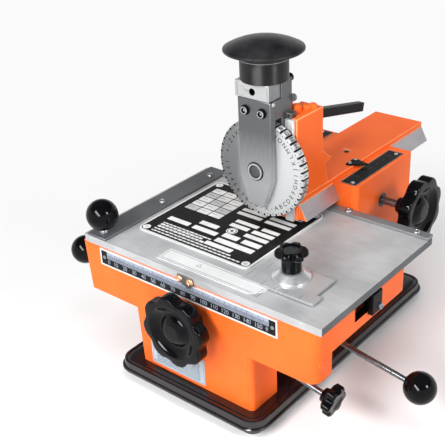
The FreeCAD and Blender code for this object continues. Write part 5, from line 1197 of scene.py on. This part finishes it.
def make_lamps():
    """Soft panels. The key panel is a tilted strip, which gives the wheels their thin crescents."""
    aim = Vector((0.0, 0.0, 0.10))
    for name, azimuth, elevation, distance, width, height, tilt, power, mirrored in (
            ("key_panel", 4, 31, 1.5, 1.20, 0.30, -32, 32, True),
            ("side_panel", 85, 31, 1.5, 0.30, 0.38, 0, 10, True),
            ("top_panel", 40, 76, 1.6, 0.9, 0.9, 0, 8, False),
            ("back_panel", 215, 26, 1.6, 1.2, 1.0, 0, 6, False)):
        away = towards(azimuth, elevation)
        lamp = bpy.data.lights.new(name, "AREA")
        lamp.shape = "RECTANGLE"
        lamp.size, lamp.size_y = width, height
        lamp.energy = power
        holder = bpy.data.objects.new(name, lamp)
        holder.location = aim + away * distance
        holder.visible_glossy = mirrored
        holder.rotation_mode = "QUATERNION"
        holder.rotation_quaternion = ((-away).to_track_quat("-Z", "Y")
                                      @ Quaternion(UP, math.radians(tilt)))
        bpy.context.scene.collection.objects.link(holder)


def make_camera():
    """The camera, as fitted to the straight edges of the machine in the photograph."""
    azimuth, elevation, roll = 40.739, 27.805, math.radians(-2.698)
    spot = Vector((379.8, -537.6, 451.3))
    focal_pixels, image_width = 893.572, 445
    back = towards(azimuth, elevation)
    level = Vector((math.cos(math.radians(azimuth)), math.sin(math.radians(azimuth)), 0))
    above = back.cross(level)
    right = level * math.cos(roll) + above * math.sin(roll)
    top = above * math.cos(roll) - level * math.sin(roll)
    data = bpy.data.cameras.new("camera")
    data.sensor_fit = "HORIZONTAL"
    data.sensor_width = 36
    data.lens = focal_pixels / image_width * data.sensor_width
    data.clip_start = 0.05
    data.clip_end = 30
    camera = bpy.data.objects.new("camera", data)
    place = Matrix((right, top, back)).transposed().to_4x4()
    place.translation = spot * MM
    camera.matrix_world = place
    bpy.context.scene.collection.objects.link(camera)
    bpy.context.scene.camera = camera


finish_plain_nodes()
make_base()
make_castings()
make_front_scale()
make_data_plate()
make_column_scale()
make_lock_knob()
make_table()
make_nameplate()
make_clamp()
make_handwheels()
make_arm()
make_spring()
make_head_plates()
make_head_screws()
make_palm_button()
make_ram_fittings()
make_type_wheel()
make_levers()
make_backdrop()
make_lamps()
make_camera()
bpy.context.scene.view_settings.view_transform = "Standard"
